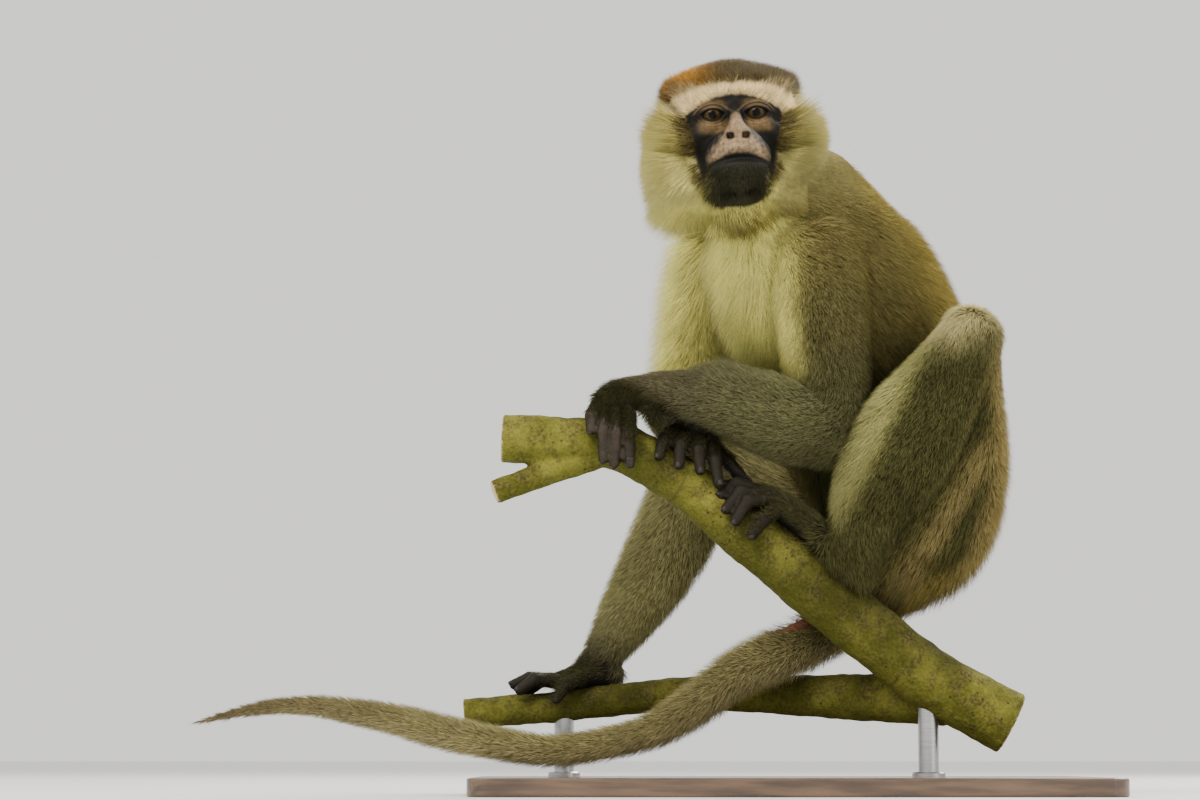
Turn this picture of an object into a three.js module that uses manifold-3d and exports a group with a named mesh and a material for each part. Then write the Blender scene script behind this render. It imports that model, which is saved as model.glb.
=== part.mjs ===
// Vervet monkey, adult male, life size: a still model that sits on a forked branch over a plain
// display stand. Millimetres, +Z up, origin at the middle of the base's underside. The head looks
// along -Y, the body faces -X and -Y, and +X is the animal's left. Each solid reaches to the tips
// of the coat.
import * as THREE from 'three';
import { mergeVertices } from 'three/addons/utils/BufferGeometryUtils.js';
import Module from 'manifold-3d';

const wasm = await Module();
wasm.setup();

// ---- Driving dimensions -------------------------------------------------------------------

const GAP = 0.3; // clearance between pieces that touch
const FAR = 400; // half size of the blocks that part the trunk

const BASE = { width: 420, depth: 300, height: 12, corner: 14 };
const ROD_RADIUS = 7;
const ROD_SIDES = 12;

const HEAD_AT = [-35, -50, 456]; // midpoint between the centres of the eyes
const HEAD_PITCH = 9.5; // degrees, face raised above level
const HEAD_ROLL = -3.3; // degrees, crown leaning to -X
const EYE_RADIUS = 9.3;
const EYE_SPACING = 29.6;

const EAR = { apart: 60, back: 35, up: -14, r: [5, 11, 15] };
const HEAD_GLOBE = { centre: [0, 8, -18], columns: 27, rows: 20 };
const FACE_CROWDING = 1.25; // how far the head's rows of points crowd towards the face

// The head in its own frame: the eyes on the X axis, -Y forward and +Z up. `soft` is how widely a
// lobe melts into those before it.
const HEAD_LOBES = [
  { name: 'crown', at: [0, 33, 12], r: [57, 39, 37.5], soft: 1 },
  { name: 'ruff', at: [0, 29, -1], r: [64, 29, 43], soft: 8 },
  { name: 'right cheek ruff', at: [-37, 29, -30], r: [27, 20, 32], soft: 10 },
  { name: 'left cheek ruff', at: [37, 29, -30], r: [27, 20, 32], soft: 10 },
  { name: 'face', at: [0, 8, -16], r: [33, 18, 38], soft: 4 },
  { name: 'brow', at: [0, 1, 13], r: [33, 11, 6], soft: 5 },
  { name: 'muzzle', at: [0, -9, -34], r: [22, 25, 18], soft: 8 },
  { name: 'nose bridge', at: [0, -9, -8], r: [6, 10, 18], soft: 8 },
  { name: 'nose', at: [0, -27, -25], r: [9, 7, 6], soft: 6 },
  { name: 'upper lip', at: [0, -19, -36], r: [20, 17, 6.5], soft: 4 },
  { name: 'lower lip', at: [0, -17, -48], r: [17, 16, 6.5], soft: 2 },
  { name: 'chin', at: [0, -7, -53], r: [19, 16, 12], soft: 6 },
];

// Spine of the trunk from neck base to rump: place, then half width towards the chest and half
// width towards the flanks.
const TRUNK_SHAPE = {
  side: [0.55, -0.84, 0],
  sides: 14,
  rings: 7,
  dome: [0.6, 0.7],
  domeAngles: [30, 60],
};
const TRUNK = [
  { at: [9, 28, 414], r: [57, 53] },
  { at: [18, 28, 382], r: [73, 61] },
  { at: [34, 30, 344], r: [85, 66] },
  { at: [52, 32, 306], r: [87, 66] },
  { at: [70, 35, 268], r: [85, 65] },
  { at: [84, 30, 227], r: [80, 64] },
  { at: [87, 24, 192], r: [64, 58] },
  { at: [66, 2, 158], r: [42, 42] },
];
const CHEST_TO_BELLY = [55, 32, 302];
const BELLY_TO_RUMP = [82, 30, 232];
const SPINE_LEAN = [-0.33, 0, 0.94];

const NECK_SHAPE = { side: [0.7, -0.7, 0], sides: 10, rings: 2, dome: [0.5, 0.3] };
const NECK = [
  { at: [-27, 4, 444], r: [42, 40] },
  { at: [-12, 14, 424], r: [51, 47] },
  { at: [4, 26, 400], r: [58, 52] },
];

// Limbs: each station is a joint or the middle of a muscle, with its half widths.
const UPPER_ARM_LEFT = [
  { at: [18, -12, 372], r: [35, 30] },
  { at: [23, -30, 328], r: [32, 29] },
  { at: [27, -42, 284], r: [31, 28] },
  { at: [30, -49, 254], r: [28, 27] },
];
const FOREARM_LEFT = [
  { at: [26, -51, 246], r: [30, 28] },
  { at: [-1, -55, 249], r: [31, 27] },
  { at: [-33, -54, 259], r: [26, 23] },
  { at: [-60, -52, 263], r: [21, 19] },
  { at: [-88, -50, 266], r: [16, 15] },
];
const UPPER_ARM_RIGHT = [
  { at: [-40, 56, 384], r: [33, 34] },
  { at: [-52, 74, 336], r: [29, 30] },
  { at: [-59, 84, 291], r: [27, 28] },
  { at: [-66, 86, 272], r: [24, 25] },
];
const FOREARM_RIGHT = [
  { at: [-67, 84, 270], r: [25, 24] },
  { at: [-68, 50, 262], r: [24, 23] },
  { at: [-66, 10, 252], r: [18, 18] },
  { at: [-65, -16, 245], r: [13, 14] },
];
const THIGH_LEFT = [
  { at: [96, -8, 186], r: [46, 36] },
  { at: [105, -30, 224], r: [44, 34] },
  { at: [112, -50, 266], r: [34, 30] },
  { at: [121, -63, 306], r: [22, 24] },
];
const SHIN_LEFT = [
  { at: [123, -67, 307], r: [22, 22] },
  { at: [101, -70, 270], r: [31, 25] },
  { at: [74, -67, 230], r: [37, 26] },
  { at: [54, -60, 193], r: [29, 22] },
  { at: [44, -56, 165], r: [16, 14] },
];
const THIGH_RIGHT = [
  { at: [70, 62, 182], r: [48, 40] },
  { at: [13, 66, 206], r: [42, 38] },
  { at: [-44, 66, 230], r: [33, 32] },
];
const SHIN_RIGHT = [
  { at: [-54, 65, 228], r: [32, 30] },
  { at: [-72, 60, 184], r: [32, 28] },
  { at: [-88, 56, 152], r: [29, 26] },
  { at: [-104, 51, 126], r: [24, 21] },
  { at: [-118, 47, 104], r: [18, 17] },
  { at: [-127, 45, 89], r: [13, 14] },
];
const TAIL = [
  { at: [78, 66, 160], r: [24, 24] },
  { at: [59, 43, 136], r: [24, 24] },
  { at: [33, 17, 114], r: [22, 22] },
  { at: [1, -3, 97], r: [21.5, 21.5] },
  { at: [-33, -17, 81], r: [19, 19] },
  { at: [-66, -25, 57], r: [16.5, 16.5] },
  { at: [-99, -27, 40], r: [13.5, 13.5] },
  { at: [-152, -27, 30], r: [12.5, 12.5] },
  { at: [-191, -25, 34], r: [13, 13] },
  { at: [-231, -19, 42], r: [13.5, 13.5] },
  { at: [-258, -11, 49], r: [12.5, 12.5] },
  { at: [-299, 3, 57], r: [10, 10] },
  { at: [-327, 15, 60], r: [8, 8] },
  { at: [-355, 30, 59], r: [6.5, 6.5] },
  { at: [-384, 47, 54], r: [4.5, 4.5] },
  { at: [-404, 58, 49], r: [3, 3] },
];
const TAIL_CUTS = [0, 0.15, 0.29, 0.43, 0.57, 0.71, 0.85, 1]; // shares along the stations

// Hands and feet: the palm or sole, then each digit from knuckle to tip.
const PALM_LEFT = [
  { at: [-88, -50, 266], r: [13, 12] },
  { at: [-103, -50, 266], r: [12, 13] },
  { at: [-116, -54, 262], r: [11, 14] },
];
const DIGITS_LEFT_HAND = [
  [[-124, -56, 262], [-131, -64, 250], [-131, -65, 241]],
  [[-122, -58, 260], [-123, -67, 240], [-123, -64, 222]],
  [[-115, -59, 260], [-115, -68, 238], [-116, -63, 219]],
  [[-107, -58, 259], [-106, -67, 238], [-106, -63, 220]],
  [[-99, -54, 262], [-91, -60, 254], [-88, -61, 246]],
];
const PALM_RIGHT = [
  { at: [-65, -14, 246], r: [12, 13] },
  { at: [-64, -30, 241], r: [16, 10] },
  { at: [-62, -42, 238], r: [17, 8] },
];
const DIGITS_RIGHT_HAND = [
  [[-76, -42, 241], [-83, -55, 235], [-86, -62, 224]],
  [[-68, -44, 240], [-72, -58, 231], [-73, -64, 218]],
  [[-59, -44, 237], [-60, -57, 228], [-59, -65, 214]],
  [[-51, -41, 232], [-49, -55, 221], [-47, -64, 206]],
  [[-50, -34, 232], [-38, -38, 220], [-28, -42, 209]],
];
const SOLE_LEFT = [
  { at: [47, -52, 150], r: [10, 11] },
  { at: [40, -52, 158], r: [13, 12] },
  { at: [20, -54, 172], r: [11, 13] },
  { at: [-2, -55, 188], r: [10, 14] },
  { at: [-14, -56, 196], r: [9, 13] },
];
const DIGITS_LEFT_FOOT = [
  [[-14, -46, 200], [-32, -38, 207], [-44, -42, 205]],
  [[-16, -52, 200], [-34, -52, 206], [-45, -60, 198]],
  [[-16, -57, 198], [-32, -62, 200], [-42, -68, 188]],
  [[-15, -61, 195], [-28, -69, 193], [-36, -71, 180]],
  [[-6, -62, 188], [-18, -70, 180], [-25, -71, 171]],
];
const SOLE_RIGHT = [
  { at: [-114, 46, 82], r: [8, 9] },
  { at: [-128, 45, 83], r: [12, 13] },
  { at: [-143, 42, 79], r: [9, 14] },
  { at: [-154, 41, 77], r: [7, 14] },
];
const DIGITS_RIGHT_FOOT = [
  [[-152, 52, 77], [-166, 55, 78], [-176, 54, 70]],
  [[-156, 46, 77], [-172, 46, 79], [-182, 44, 75]],
  [[-157, 39, 77], [-174, 37, 79], [-184, 35, 75]],
  [[-155, 33, 77], [-170, 27, 78], [-180, 24, 71]],
  [[-138, 31, 78], [-149, 22, 74], [-155, 19, 65]],
];
const FINGER_RADIUS = 5;
const TOE_RADIUS = 5.2;

// Perch: the main branch slants down to +X, and the lower one joins it at the fork.
const BRANCH = [
  { at: [-191, -45, 237], r: [16.5, 16.5] },
  { at: [-152, -45, 235], r: [16.5, 16.5] },
  { at: [-112, -45, 231], r: [16.5, 16.5] },
  { at: [-69, -45, 207], r: [16.5, 16.5] },
  { at: [-40, -45, 184], r: [18.5, 18.5] },
  { at: [-7, -45, 158], r: [20, 20] },
  { at: [25, -45, 131], r: [20.5, 20.5] },
  { at: [58, -45, 104], r: [20.5, 20.5] },
  { at: [90, -45, 79], r: [20.5, 20.5] },
  { at: [126, -45, 58], r: [21, 21] },
  { at: [147, -45, 47], r: [21.5, 21.5] },
];
const BRANCH_CUTS = [0, 0.24, 1]; // parted at its bend
const TWIG = [
  { at: [-128, -46, 226], r: [10, 10] },
  { at: [-165, -50, 212], r: [8.5, 8.5] },
  { at: [-196, -54, 200], r: [8, 8] },
];
const LOWER_BRANCH = [
  { at: [-219, 40, 55], r: [10, 10] },
  { at: [-153, 40, 60], r: [10.5, 10.5] },
  { at: [-98, 38, 66], r: [11, 11] },
  { at: [-58, 35, 69], r: [12, 12] },
  { at: [-11, 27, 68], r: [13, 13] },
  { at: [35, 9, 66], r: [15, 15] },
  { at: [73, -13, 65], r: [17, 17] },
  { at: [104, -36, 64], r: [18, 18] },
];
const LOWER_CUTS = [0, 0.56, 1];
const RODS = [
  { x: 92, y: -45, top: 80 },
  { x: -150, y: 40, top: 60 },
];

// ---- Materials ----------------------------------------------------------------------------

function material(color, roughness, metalness = 0) {
  return new THREE.MeshStandardMaterial({ color, roughness, metalness });
}

const MATERIALS = {
  coat: material(0x6f6a4c, 0.95),
  paleCoat: material(0xb9b48e, 0.95),
  darkCoat: material(0x5a5646, 0.95),
  darkSkin: material(0x2a2725, 0.6),
  eye: material(0x1c120a, 0.08),
  bark: material(0x8a8440, 0.85),
  wood: material(0x3a2a20, 0.45),
  metal: material(0x6c6c6c, 0.35, 1),
};

// ---- Shapes: each is a function of how far its surface is grown outwards -------------------

function manifoldOf(geometry) {
  const bare = geometry.clone();
  bare.deleteAttribute('normal');
  bare.deleteAttribute('uv');
  const merged = mergeVertices(bare, 1e-4);
  const vertProperties = new Float32Array(merged.attributes.position.array);
  const triVerts = new Uint32Array(merged.index.array);
  return new wasm.Manifold(new wasm.Mesh({ numProp: 3, vertProperties, triVerts }));
}

function ellipsoid({ at, r, frame, sides }) {
  return (grow) => {
    const geometry = new THREE.SphereGeometry(1, sides, Math.round(sides * 0.6));
    geometry.scale(...r.map((radius) => radius + grow));
    geometry.translate(...at);
    geometry.applyMatrix4(frame);
    return manifoldOf(geometry);
  };
}

// Distance from a point to an ellipsoid's surface, near enough close to it.
function distanceTo({ at, r }, point) {
  const offset = point.clone().sub(new THREE.Vector3(...at));
  const scaled = offset.clone().divide(new THREE.Vector3(...r));
  const slope = scaled.clone().divide(new THREE.Vector3(...r)).length();
  return (scaled.length() * (scaled.length() - 1)) / slope;
}

// The triangles of a grid of points that closes to a point at its first and last row. Each quad
// is split along its shorter diagonal.
function gridTriangles(points, columns, rows) {
  const place = (i) => new THREE.Vector3().fromBufferAttribute(points, i);
  const index = [];
  for (let row = 0; row < rows; row += 1) {
    for (let column = 0; column < columns; column += 1) {
      const a = row * (columns + 1) + column;
      const [b, c] = [a + 1, a + columns + 1];
      const d = c + 1;
      const shortAD = place(a).distanceTo(place(d)) < place(b).distanceTo(place(c));
      if (row === 0) index.push(a, c, d);
      else if (row === rows - 1) index.push(a, c, b);
      else if (shortAD) index.push(a, c, d, a, d, b);
      else index.push(a, c, b, b, c, d);
    }
  }
  return index;
}

// One smooth surface round soft-joined ellipsoids: each point of a globe about `centre` is drawn
// in until it meets them. The globe's rows are closest together towards -Y.
function blended(lobes, { centre, columns, rows, frame }) {
  const reach = 120;
  const stride = 2;
  const middle = new THREE.Vector3(...centre);

  function depthAt(point) {
    return lobes.reduce((nearest, lobe) => {
      const distance = distanceTo(lobe, point);
      const overlap = Math.max(lobe.soft - Math.abs(nearest - distance), 0) / lobe.soft;
      return Math.min(nearest, distance) - (overlap * overlap * lobe.soft) / 4;
    }, reach);
  }

  function surfacePoint(direction, grow) {
    const at = (radius) => middle.clone().addScaledVector(direction, radius);
    let outer = reach;
    while (depthAt(at(outer - stride)) > grow) outer -= stride;
    let inner = outer - stride;
    for (let i = 0; i < 8; i += 1) {
      const half = (inner + outer) / 2;
      if (depthAt(at(half)) > grow) outer = half;
      else inner = half;
    }
    return at((inner + outer) / 2);
  }

  return (grow) => {
    const globe = new THREE.SphereGeometry(1, columns, rows);
    const points = globe.attributes.position;
    for (let i = 0; i < points.count; i += 1) {
      const direction = new THREE.Vector3().fromBufferAttribute(points, i).normalize();
      const polar = Math.acos(THREE.MathUtils.clamp(-direction.y, -1, 1));
      const spread = Math.hypot(direction.x, direction.z) || 1;
      const drawn = Math.PI * (polar / Math.PI) ** FACE_CROWDING;
      const flat = Math.sin(drawn) / spread;
      direction.set(direction.x * flat, -Math.cos(drawn), direction.z * flat).normalize();
      points.setXYZ(i, ...surfacePoint(direction, grow).toArray());
    }
    globe.setIndex(gridTriangles(points, columns, rows));
    globe.applyMatrix4(frame);
    return manifoldOf(globe);
  };
}

function block(size, at, direction) {
  const geometry = new THREE.BoxGeometry(...size);
  const up = new THREE.Vector3(0, 0, 1);
  const turn = new THREE.Quaternion().setFromUnitVectors(up, direction);
  geometry.applyMatrix4(new THREE.Matrix4().makeRotationFromQuaternion(turn));
  geometry.translate(...at);
  return manifoldOf(geometry);
}

// Rings of an ellipse carried along the smooth line through the stations. `side` is the direction
// of the second half width. A round end is a dome of `dome` times the end's half width.
function loft(stations, options = {}) {
  const { side = [0, 1, 0], sides = 12, rings = 5, from = 0, to = 1 } = options;
  const { dome = [0.8, 0.8], domeAngles = [45], frame = new THREE.Matrix4() } = options;
  const centre = new THREE.CatmullRomCurve3(stations.map((s) => new THREE.Vector3(...s.at)));
  const widths = new THREE.CatmullRomCurve3(stations.map((s) => new THREE.Vector3(...s.r, 0)));
  const across = new THREE.Vector3(...side);
  const domeSteps = domeAngles.map(THREE.MathUtils.degToRad);

  function ringAt(t, grow, lift, scale) {
    const tangent = centre.getTangent(t);
    const second = across.clone().addScaledVector(tangent, -across.dot(tangent)).normalize();
    const first = new THREE.Vector3().crossVectors(second, tangent);
    const middle = centre.getPoint(t).addScaledVector(tangent, lift);
    const width = widths.getPoint(t);
    const points = [];
    for (let i = 0; i < sides; i += 1) {
      const angle = (2 * Math.PI * i) / sides;
      const a = (width.x + grow) * scale * Math.cos(angle);
      const b = (width.y + grow) * scale * Math.sin(angle);
      points.push(middle.clone().addScaledVector(first, a).addScaledVector(second, b));
    }
    return { points, middle };
  }

  return (grow) => {
    const bodyRings = [];
    const endLift = (t, share) => {
      const width = widths.getPoint(t);
      return (Math.min(width.x, width.y) + grow) * share;
    };
    const [startDome, endDome] = dome;
    if (startDome > 0) {
      for (const angle of [...domeSteps].reverse()) {
        const lift = -endLift(from, startDome) * Math.sin(angle);
        bodyRings.push(ringAt(from, grow, lift, Math.cos(angle)));
      }
    }
    for (let i = 0; i <= rings; i += 1) {
      bodyRings.push(ringAt(from + ((to - from) * i) / rings, grow, 0, 1));
    }
    if (endDome > 0) {
      for (const angle of domeSteps) {
        bodyRings.push(ringAt(to, grow, endLift(to, endDome) * Math.sin(angle), Math.cos(angle)));
      }
    }
    const start = ringAt(from, grow, -endLift(from, startDome), 1).middle;
    const end = ringAt(to, grow, endLift(to, endDome), 1).middle;
    const vertices = [start, ...bodyRings.flatMap((ring) => ring.points), end];
    const last = vertices.length - 1;
    const index = [];
    for (let i = 0; i < sides; i += 1) {
      const next = (i + 1) % sides;
      index.push(0, 1 + next, 1 + i);
      for (let j = 0; j < bodyRings.length - 1; j += 1) {
        const low = 1 + j * sides;
        const high = low + sides;
        index.push(low + i, low + next, high + next, low + i, high + next, high + i);
      }
      index.push(last, last - sides + i, last - sides + next);
    }
    const geometry = new THREE.BufferGeometry().setFromPoints(vertices);
    geometry.setIndex(index);
    geometry.applyMatrix4(frame);
    return manifoldOf(geometry);
  };
}

function joined(shapes, grow) {
  return shapes.map((shape) => shape(grow)).reduce((sum, next) => sum.add(next));
}

function largestBody(solid) {
  return solid.decompose().reduce((best, next) => (next.volume() > best.volume() ? next : best));
}

// ---- Assembly -----------------------------------------------------------------------------

const monkey = new THREE.Group();
const cutters = [];

function addMesh(name, look, solid) {
  const mesh = solid.getMesh();
  const geometry = new THREE.BufferGeometry();
  geometry.setAttribute('position', new THREE.BufferAttribute(mesh.vertProperties, 3));
  geometry.setIndex(new THREE.BufferAttribute(mesh.triVerts, 1));
  geometry.computeVertexNormals();
  const piece = new THREE.Mesh(geometry, look);
  piece.name = name;
  monkey.add(piece);
}

function boxesMeet(a, b) {
  return [0, 1, 2].every((axis) => a.min[axis] < b.max[axis] && b.min[axis] < a.max[axis]);
}

function clearOfOthers(solid) {
  const box = solid.boundingBox();
  return cutters
    .filter((cutter) => boxesMeet(box, cutter.boundingBox()))
    .reduce((rest, cutter) => rest.subtract(cutter), solid);
}

// A piece gives way to those that were added before it.
function addPiece(name, look, shapes) {
  addMesh(name, look, largestBody(clearOfOthers(joined(shapes, 0))));
  cutters.push(joined(shapes, GAP));
}

function along(direction, distance, at) {
  return new THREE.Vector3(...at).addScaledVector(direction, distance).toArray();
}

// The trunk is one smooth body, parted across the spine.
function addTrunk() {
  const shapes = [loft(TRUNK, TRUNK_SHAPE)];
  const whole = clearOfOthers(joined(shapes, 0));
  const lean = new THREE.Vector3(...SPINE_LEAN).normalize();
  const size = [2 * FAR, 2 * FAR, 2 * FAR];
  const above = (at) => block(size, along(lean, FAR + GAP / 2, at), lean);
  const below = (at) => block(size, along(lean, -FAR - GAP / 2, at), lean);
  const belly = whole.intersect(below(CHEST_TO_BELLY)).intersect(above(BELLY_TO_RUMP));
  addMesh('chest', MATERIALS.paleCoat, largestBody(whole.intersect(above(CHEST_TO_BELLY))));
  addMesh('belly', MATERIALS.coat, largestBody(belly));
  addMesh('rump', MATERIALS.coat, largestBody(whole.intersect(below(BELLY_TO_RUMP))));
  cutters.push(joined(shapes, GAP));
}

const headFrame = new THREE.Matrix4()
  .makeTranslation(...HEAD_AT)
  .multiply(new THREE.Matrix4().makeRotationY(THREE.MathUtils.degToRad(HEAD_ROLL)))
  .multiply(new THREE.Matrix4().makeRotationX(THREE.MathUtils.degToRad(-HEAD_PITCH)));

function addHead() {
  const sides = { left: 1, right: -1 };
  for (const [side, sign] of Object.entries(sides)) {
    const at = [(sign * EYE_SPACING) / 2, 0, 0];
    const r = [EYE_RADIUS, EYE_RADIUS, EYE_RADIUS];
    addPiece(`eye_${side}`, MATERIALS.eye, [ellipsoid({ at, r, frame: headFrame, sides: 10 })]);
  }
  for (const [side, sign] of Object.entries(sides)) {
    const ear = { at: [sign * EAR.apart, EAR.back, EAR.up], r: EAR.r, frame: headFrame, sides: 10 };
    addPiece(`ear_${side}`, MATERIALS.darkSkin, [ellipsoid(ear)]);
  }
  addPiece('head', MATERIALS.coat, [blended(HEAD_LOBES, { ...HEAD_GLOBE, frame: headFrame })]);
}

function digitShapes(digits, radius) {
  return digits.map(([knuckle, middle, tip]) => {
    const stations = [
      { at: knuckle, r: [radius * 1.15, radius * 1.15] },
      { at: middle, r: [radius, radius] },
      { at: tip, r: [radius * 0.8, radius * 0.8] },
    ];
    return loft(stations, { side: [1, 0.1, 0], sides: 5, rings: 2, dome: [0, 0.8] });
  });
}

function addHand(name, palm, digits, radius, side) {
  const palmShape = loft(palm, { side, sides: 7, rings: 3 });
  const shapes = [palmShape, ...digitShapes(digits, radius)];
  addPiece(name, MATERIALS.darkSkin, shapes);
}

function addLimb(name, look, stations, side) {
  addPiece(name, look, [loft(stations, { side, rings: 4 })]);
}

// A long bent part, parted across its line at each of `cuts`.
function addLengths(name, look, stations, cuts, options) {
  const { dome = [0, 0], ...shape } = options;
  const whole = new THREE.CatmullRomCurve3(stations.map((s) => new THREE.Vector3(...s.at)));
  const halfGap = GAP / whole.getLength() / 2;
  const last = cuts.length - 2;
  const lengthBetween = (i, margin) => {
    const isFirst = i === 0;
    const isLast = i === last;
    return loft(stations, {
      ...shape,
      from: cuts[i] + (isFirst ? 0 : margin),
      to: cuts[i + 1] - (isLast ? 0 : margin),
      dome: [isFirst ? dome[0] : 0, isLast ? dome[1] : 0],
    });
  };
  const grown = [];
  for (let i = 0; i <= last; i += 1) {
    const solid = clearOfOthers(lengthBetween(i, halfGap)(0));
    addMesh(`${name}_${i + 1}`, look, largestBody(solid));
    grown.push(lengthBetween(i, 0));
  }
  cutters.push(joined(grown, GAP));
}

function addPerch() {
  addLengths('perch_branch', MATERIALS.bark, BRANCH, BRANCH_CUTS, { sides: 12, rings: 5 });
  addPiece('perch_twig', MATERIALS.bark, [loft(TWIG, { sides: 8, rings: 3, dome: [0, 0] })]);
  addLengths('perch_lower', MATERIALS.bark, LOWER_BRANCH, LOWER_CUTS, { sides: 10, rings: 4 });
}

function addStand() {
  const { width, depth, height, corner } = BASE;
  const outline = new THREE.Shape();
  const right = width / 2 - corner;
  const back = depth / 2 - corner;
  outline.absarc(right, back, corner, 0, Math.PI / 2);
  outline.absarc(-right, back, corner, Math.PI / 2, Math.PI);
  outline.absarc(-right, -back, corner, Math.PI, Math.PI * 1.5);
  outline.absarc(right, -back, corner, Math.PI * 1.5, Math.PI * 2);
  const slab = new THREE.ExtrudeGeometry(outline, {
    depth: height,
    bevelEnabled: false,
    curveSegments: 4,
  });
  addMesh('stand_base', MATERIALS.wood, manifoldOf(slab));
  RODS.forEach(({ x, y, top }, i) => {
    const length = top - height - GAP;
    const rod = new THREE.CylinderGeometry(ROD_RADIUS, ROD_RADIUS, length, ROD_SIDES);
    rod.rotateX(Math.PI / 2);
    rod.translate(x, y, height + GAP + length / 2);
    addMesh(`stand_rod_${i + 1}`, MATERIALS.metal, largestBody(clearOfOthers(manifoldOf(rod))));
  });
}

addPerch();
addStand();
addHead();
addTrunk();
addPiece('neck', MATERIALS.paleCoat, [loft(NECK, NECK_SHAPE)]);
addLimb('thigh_left', MATERIALS.coat, THIGH_LEFT, [0, 1, 0]);
addLimb('shin_left', MATERIALS.darkCoat, SHIN_LEFT, [0, 1, 0]);
addLimb('thigh_right', MATERIALS.coat, THIGH_RIGHT, [0, 1, 0]);
addLimb('shin_right', MATERIALS.darkCoat, SHIN_RIGHT, [0, 1, 0]);
addLimb('upper_arm_left', MATERIALS.coat, UPPER_ARM_LEFT, [0, 1, 0]);
addLimb('forearm_left', MATERIALS.darkCoat, FOREARM_LEFT, [0, 1, 0]);
addLimb('upper_arm_right', MATERIALS.coat, UPPER_ARM_RIGHT, [0, 1, 0]);
addLimb('forearm_right', MATERIALS.darkCoat, FOREARM_RIGHT, [0, 0, 1]);
addHand('hand_left', PALM_LEFT, DIGITS_LEFT_HAND, FINGER_RADIUS, [0, 1, 0]);
addHand('hand_right', PALM_RIGHT, DIGITS_RIGHT_HAND, FINGER_RADIUS, [0, 0, 1]);
addHand('foot_left', SOLE_LEFT, DIGITS_LEFT_FOOT, TOE_RADIUS, [0, 1, 0]);
addHand('foot_right', SOLE_RIGHT, DIGITS_RIGHT_FOOT, TOE_RADIUS, [0, 1, 0]);
addLengths('tail', MATERIALS.coat, TAIL, TAIL_CUTS, {
  side: [0, 0, 1],
  sides: 10,
  rings: 3,
  dome: [0.6, 1],
});

export default monkey;
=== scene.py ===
"""Looks of the life-size vervet monkey model: skin, eyes, nails, coat, bark and display stand.

Lengths in this file are millimetres in the part's own frame, unless a name says metres: +X is the
animal's left, -Y the way it looks and +Z up. Meshes are written in metres.
"""

import logging
import math
from dataclasses import dataclass, field
from enum import Enum

import bmesh
import bpy
import numpy as np
from bmesh.types import BMEdge, BMesh, BMVert
from bpy.types import Material, Mesh, NodeSocket, Object
from mathutils import Matrix, Vector


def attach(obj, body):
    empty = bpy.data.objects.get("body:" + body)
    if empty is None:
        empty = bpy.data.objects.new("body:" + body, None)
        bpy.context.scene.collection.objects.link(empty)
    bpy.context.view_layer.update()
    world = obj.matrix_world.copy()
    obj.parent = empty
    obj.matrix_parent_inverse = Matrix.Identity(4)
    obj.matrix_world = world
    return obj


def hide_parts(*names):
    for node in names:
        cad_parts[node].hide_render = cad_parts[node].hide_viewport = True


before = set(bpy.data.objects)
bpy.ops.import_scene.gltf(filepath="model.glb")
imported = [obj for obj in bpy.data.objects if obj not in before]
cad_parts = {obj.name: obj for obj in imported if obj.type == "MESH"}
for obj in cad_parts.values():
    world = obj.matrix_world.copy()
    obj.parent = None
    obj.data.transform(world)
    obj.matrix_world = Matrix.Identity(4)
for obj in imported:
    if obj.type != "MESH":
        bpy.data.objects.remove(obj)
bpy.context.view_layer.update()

LOG = logging.getLogger("vervet")
METRES = 0.001
SEED = 4811
BODY = "root"
COVER = 0.72
THINNEST = 1.2
Array = np.ndarray
Vec = tuple[float, float, float]
Colour = tuple[float, float, float]


# ---- Small helpers


def unit(vectors: Array) -> Array:
    """Rows of x, y and z, each divided by its length."""
    return vectors / np.maximum(np.linalg.norm(vectors, axis=-1, keepdims=True), 1e-9)


def ramp(values: Array, start: float, end: float) -> Array:
    """A smooth step from 0 at start to 1 at end, which may be the lower of the two."""
    share = np.clip((values - start) / (end - start), 0.0, 1.0)
    return share * share * (3.0 - 2.0 * share)


def plain(value: object) -> Array:
    """A value or a named one, such as a hue, as an array."""
    return np.asarray(value.value if isinstance(value, Enum) else value)


def blend(first: object, second: object, share: Array) -> Array:
    """Rows, or one row or hue for all, that turn from first to second by a share for each."""
    part = share[:, None]
    return plain(first) * (1.0 - part) + plain(second) * part


def ripple(points: Array, wavelength: float, phase: float = 0.0) -> Array:
    """A smooth wandering value between about -1 and 1, the same at each run.

    Args:
        points: rows of x, y and z.
        wavelength: rough distance from crest to crest.
        phase: shifts the pattern, so that two ripples differ.

    Returns:
        One number a row.
    """
    x, y, z = (points * (2.0 * math.pi / wavelength)).T
    first = np.sin(x + 1.7 * np.sin(0.63 * y + phase) + phase)
    second = np.sin(y + 1.5 * np.sin(0.71 * z + 2.1 * phase) + 1.3)
    third = np.sin(z + 1.6 * np.sin(0.58 * x + 0.7 * phase) + 2.6)
    return (first + second + third) / 2.4


def tilt(degrees: float) -> Array:
    """The 3 by 3 turn that takes rows of points about the X axis."""
    c, s = math.cos(math.radians(degrees)), math.sin(math.radians(degrees))
    return np.array([[1, 0, 0], [0, c, -s], [0, s, c]])


def batches(count: int, size: int = 20000) -> list[slice]:
    """Slices that together take in a number of rows."""
    return [slice(start, start + size) for start in range(0, count, size)]


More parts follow.
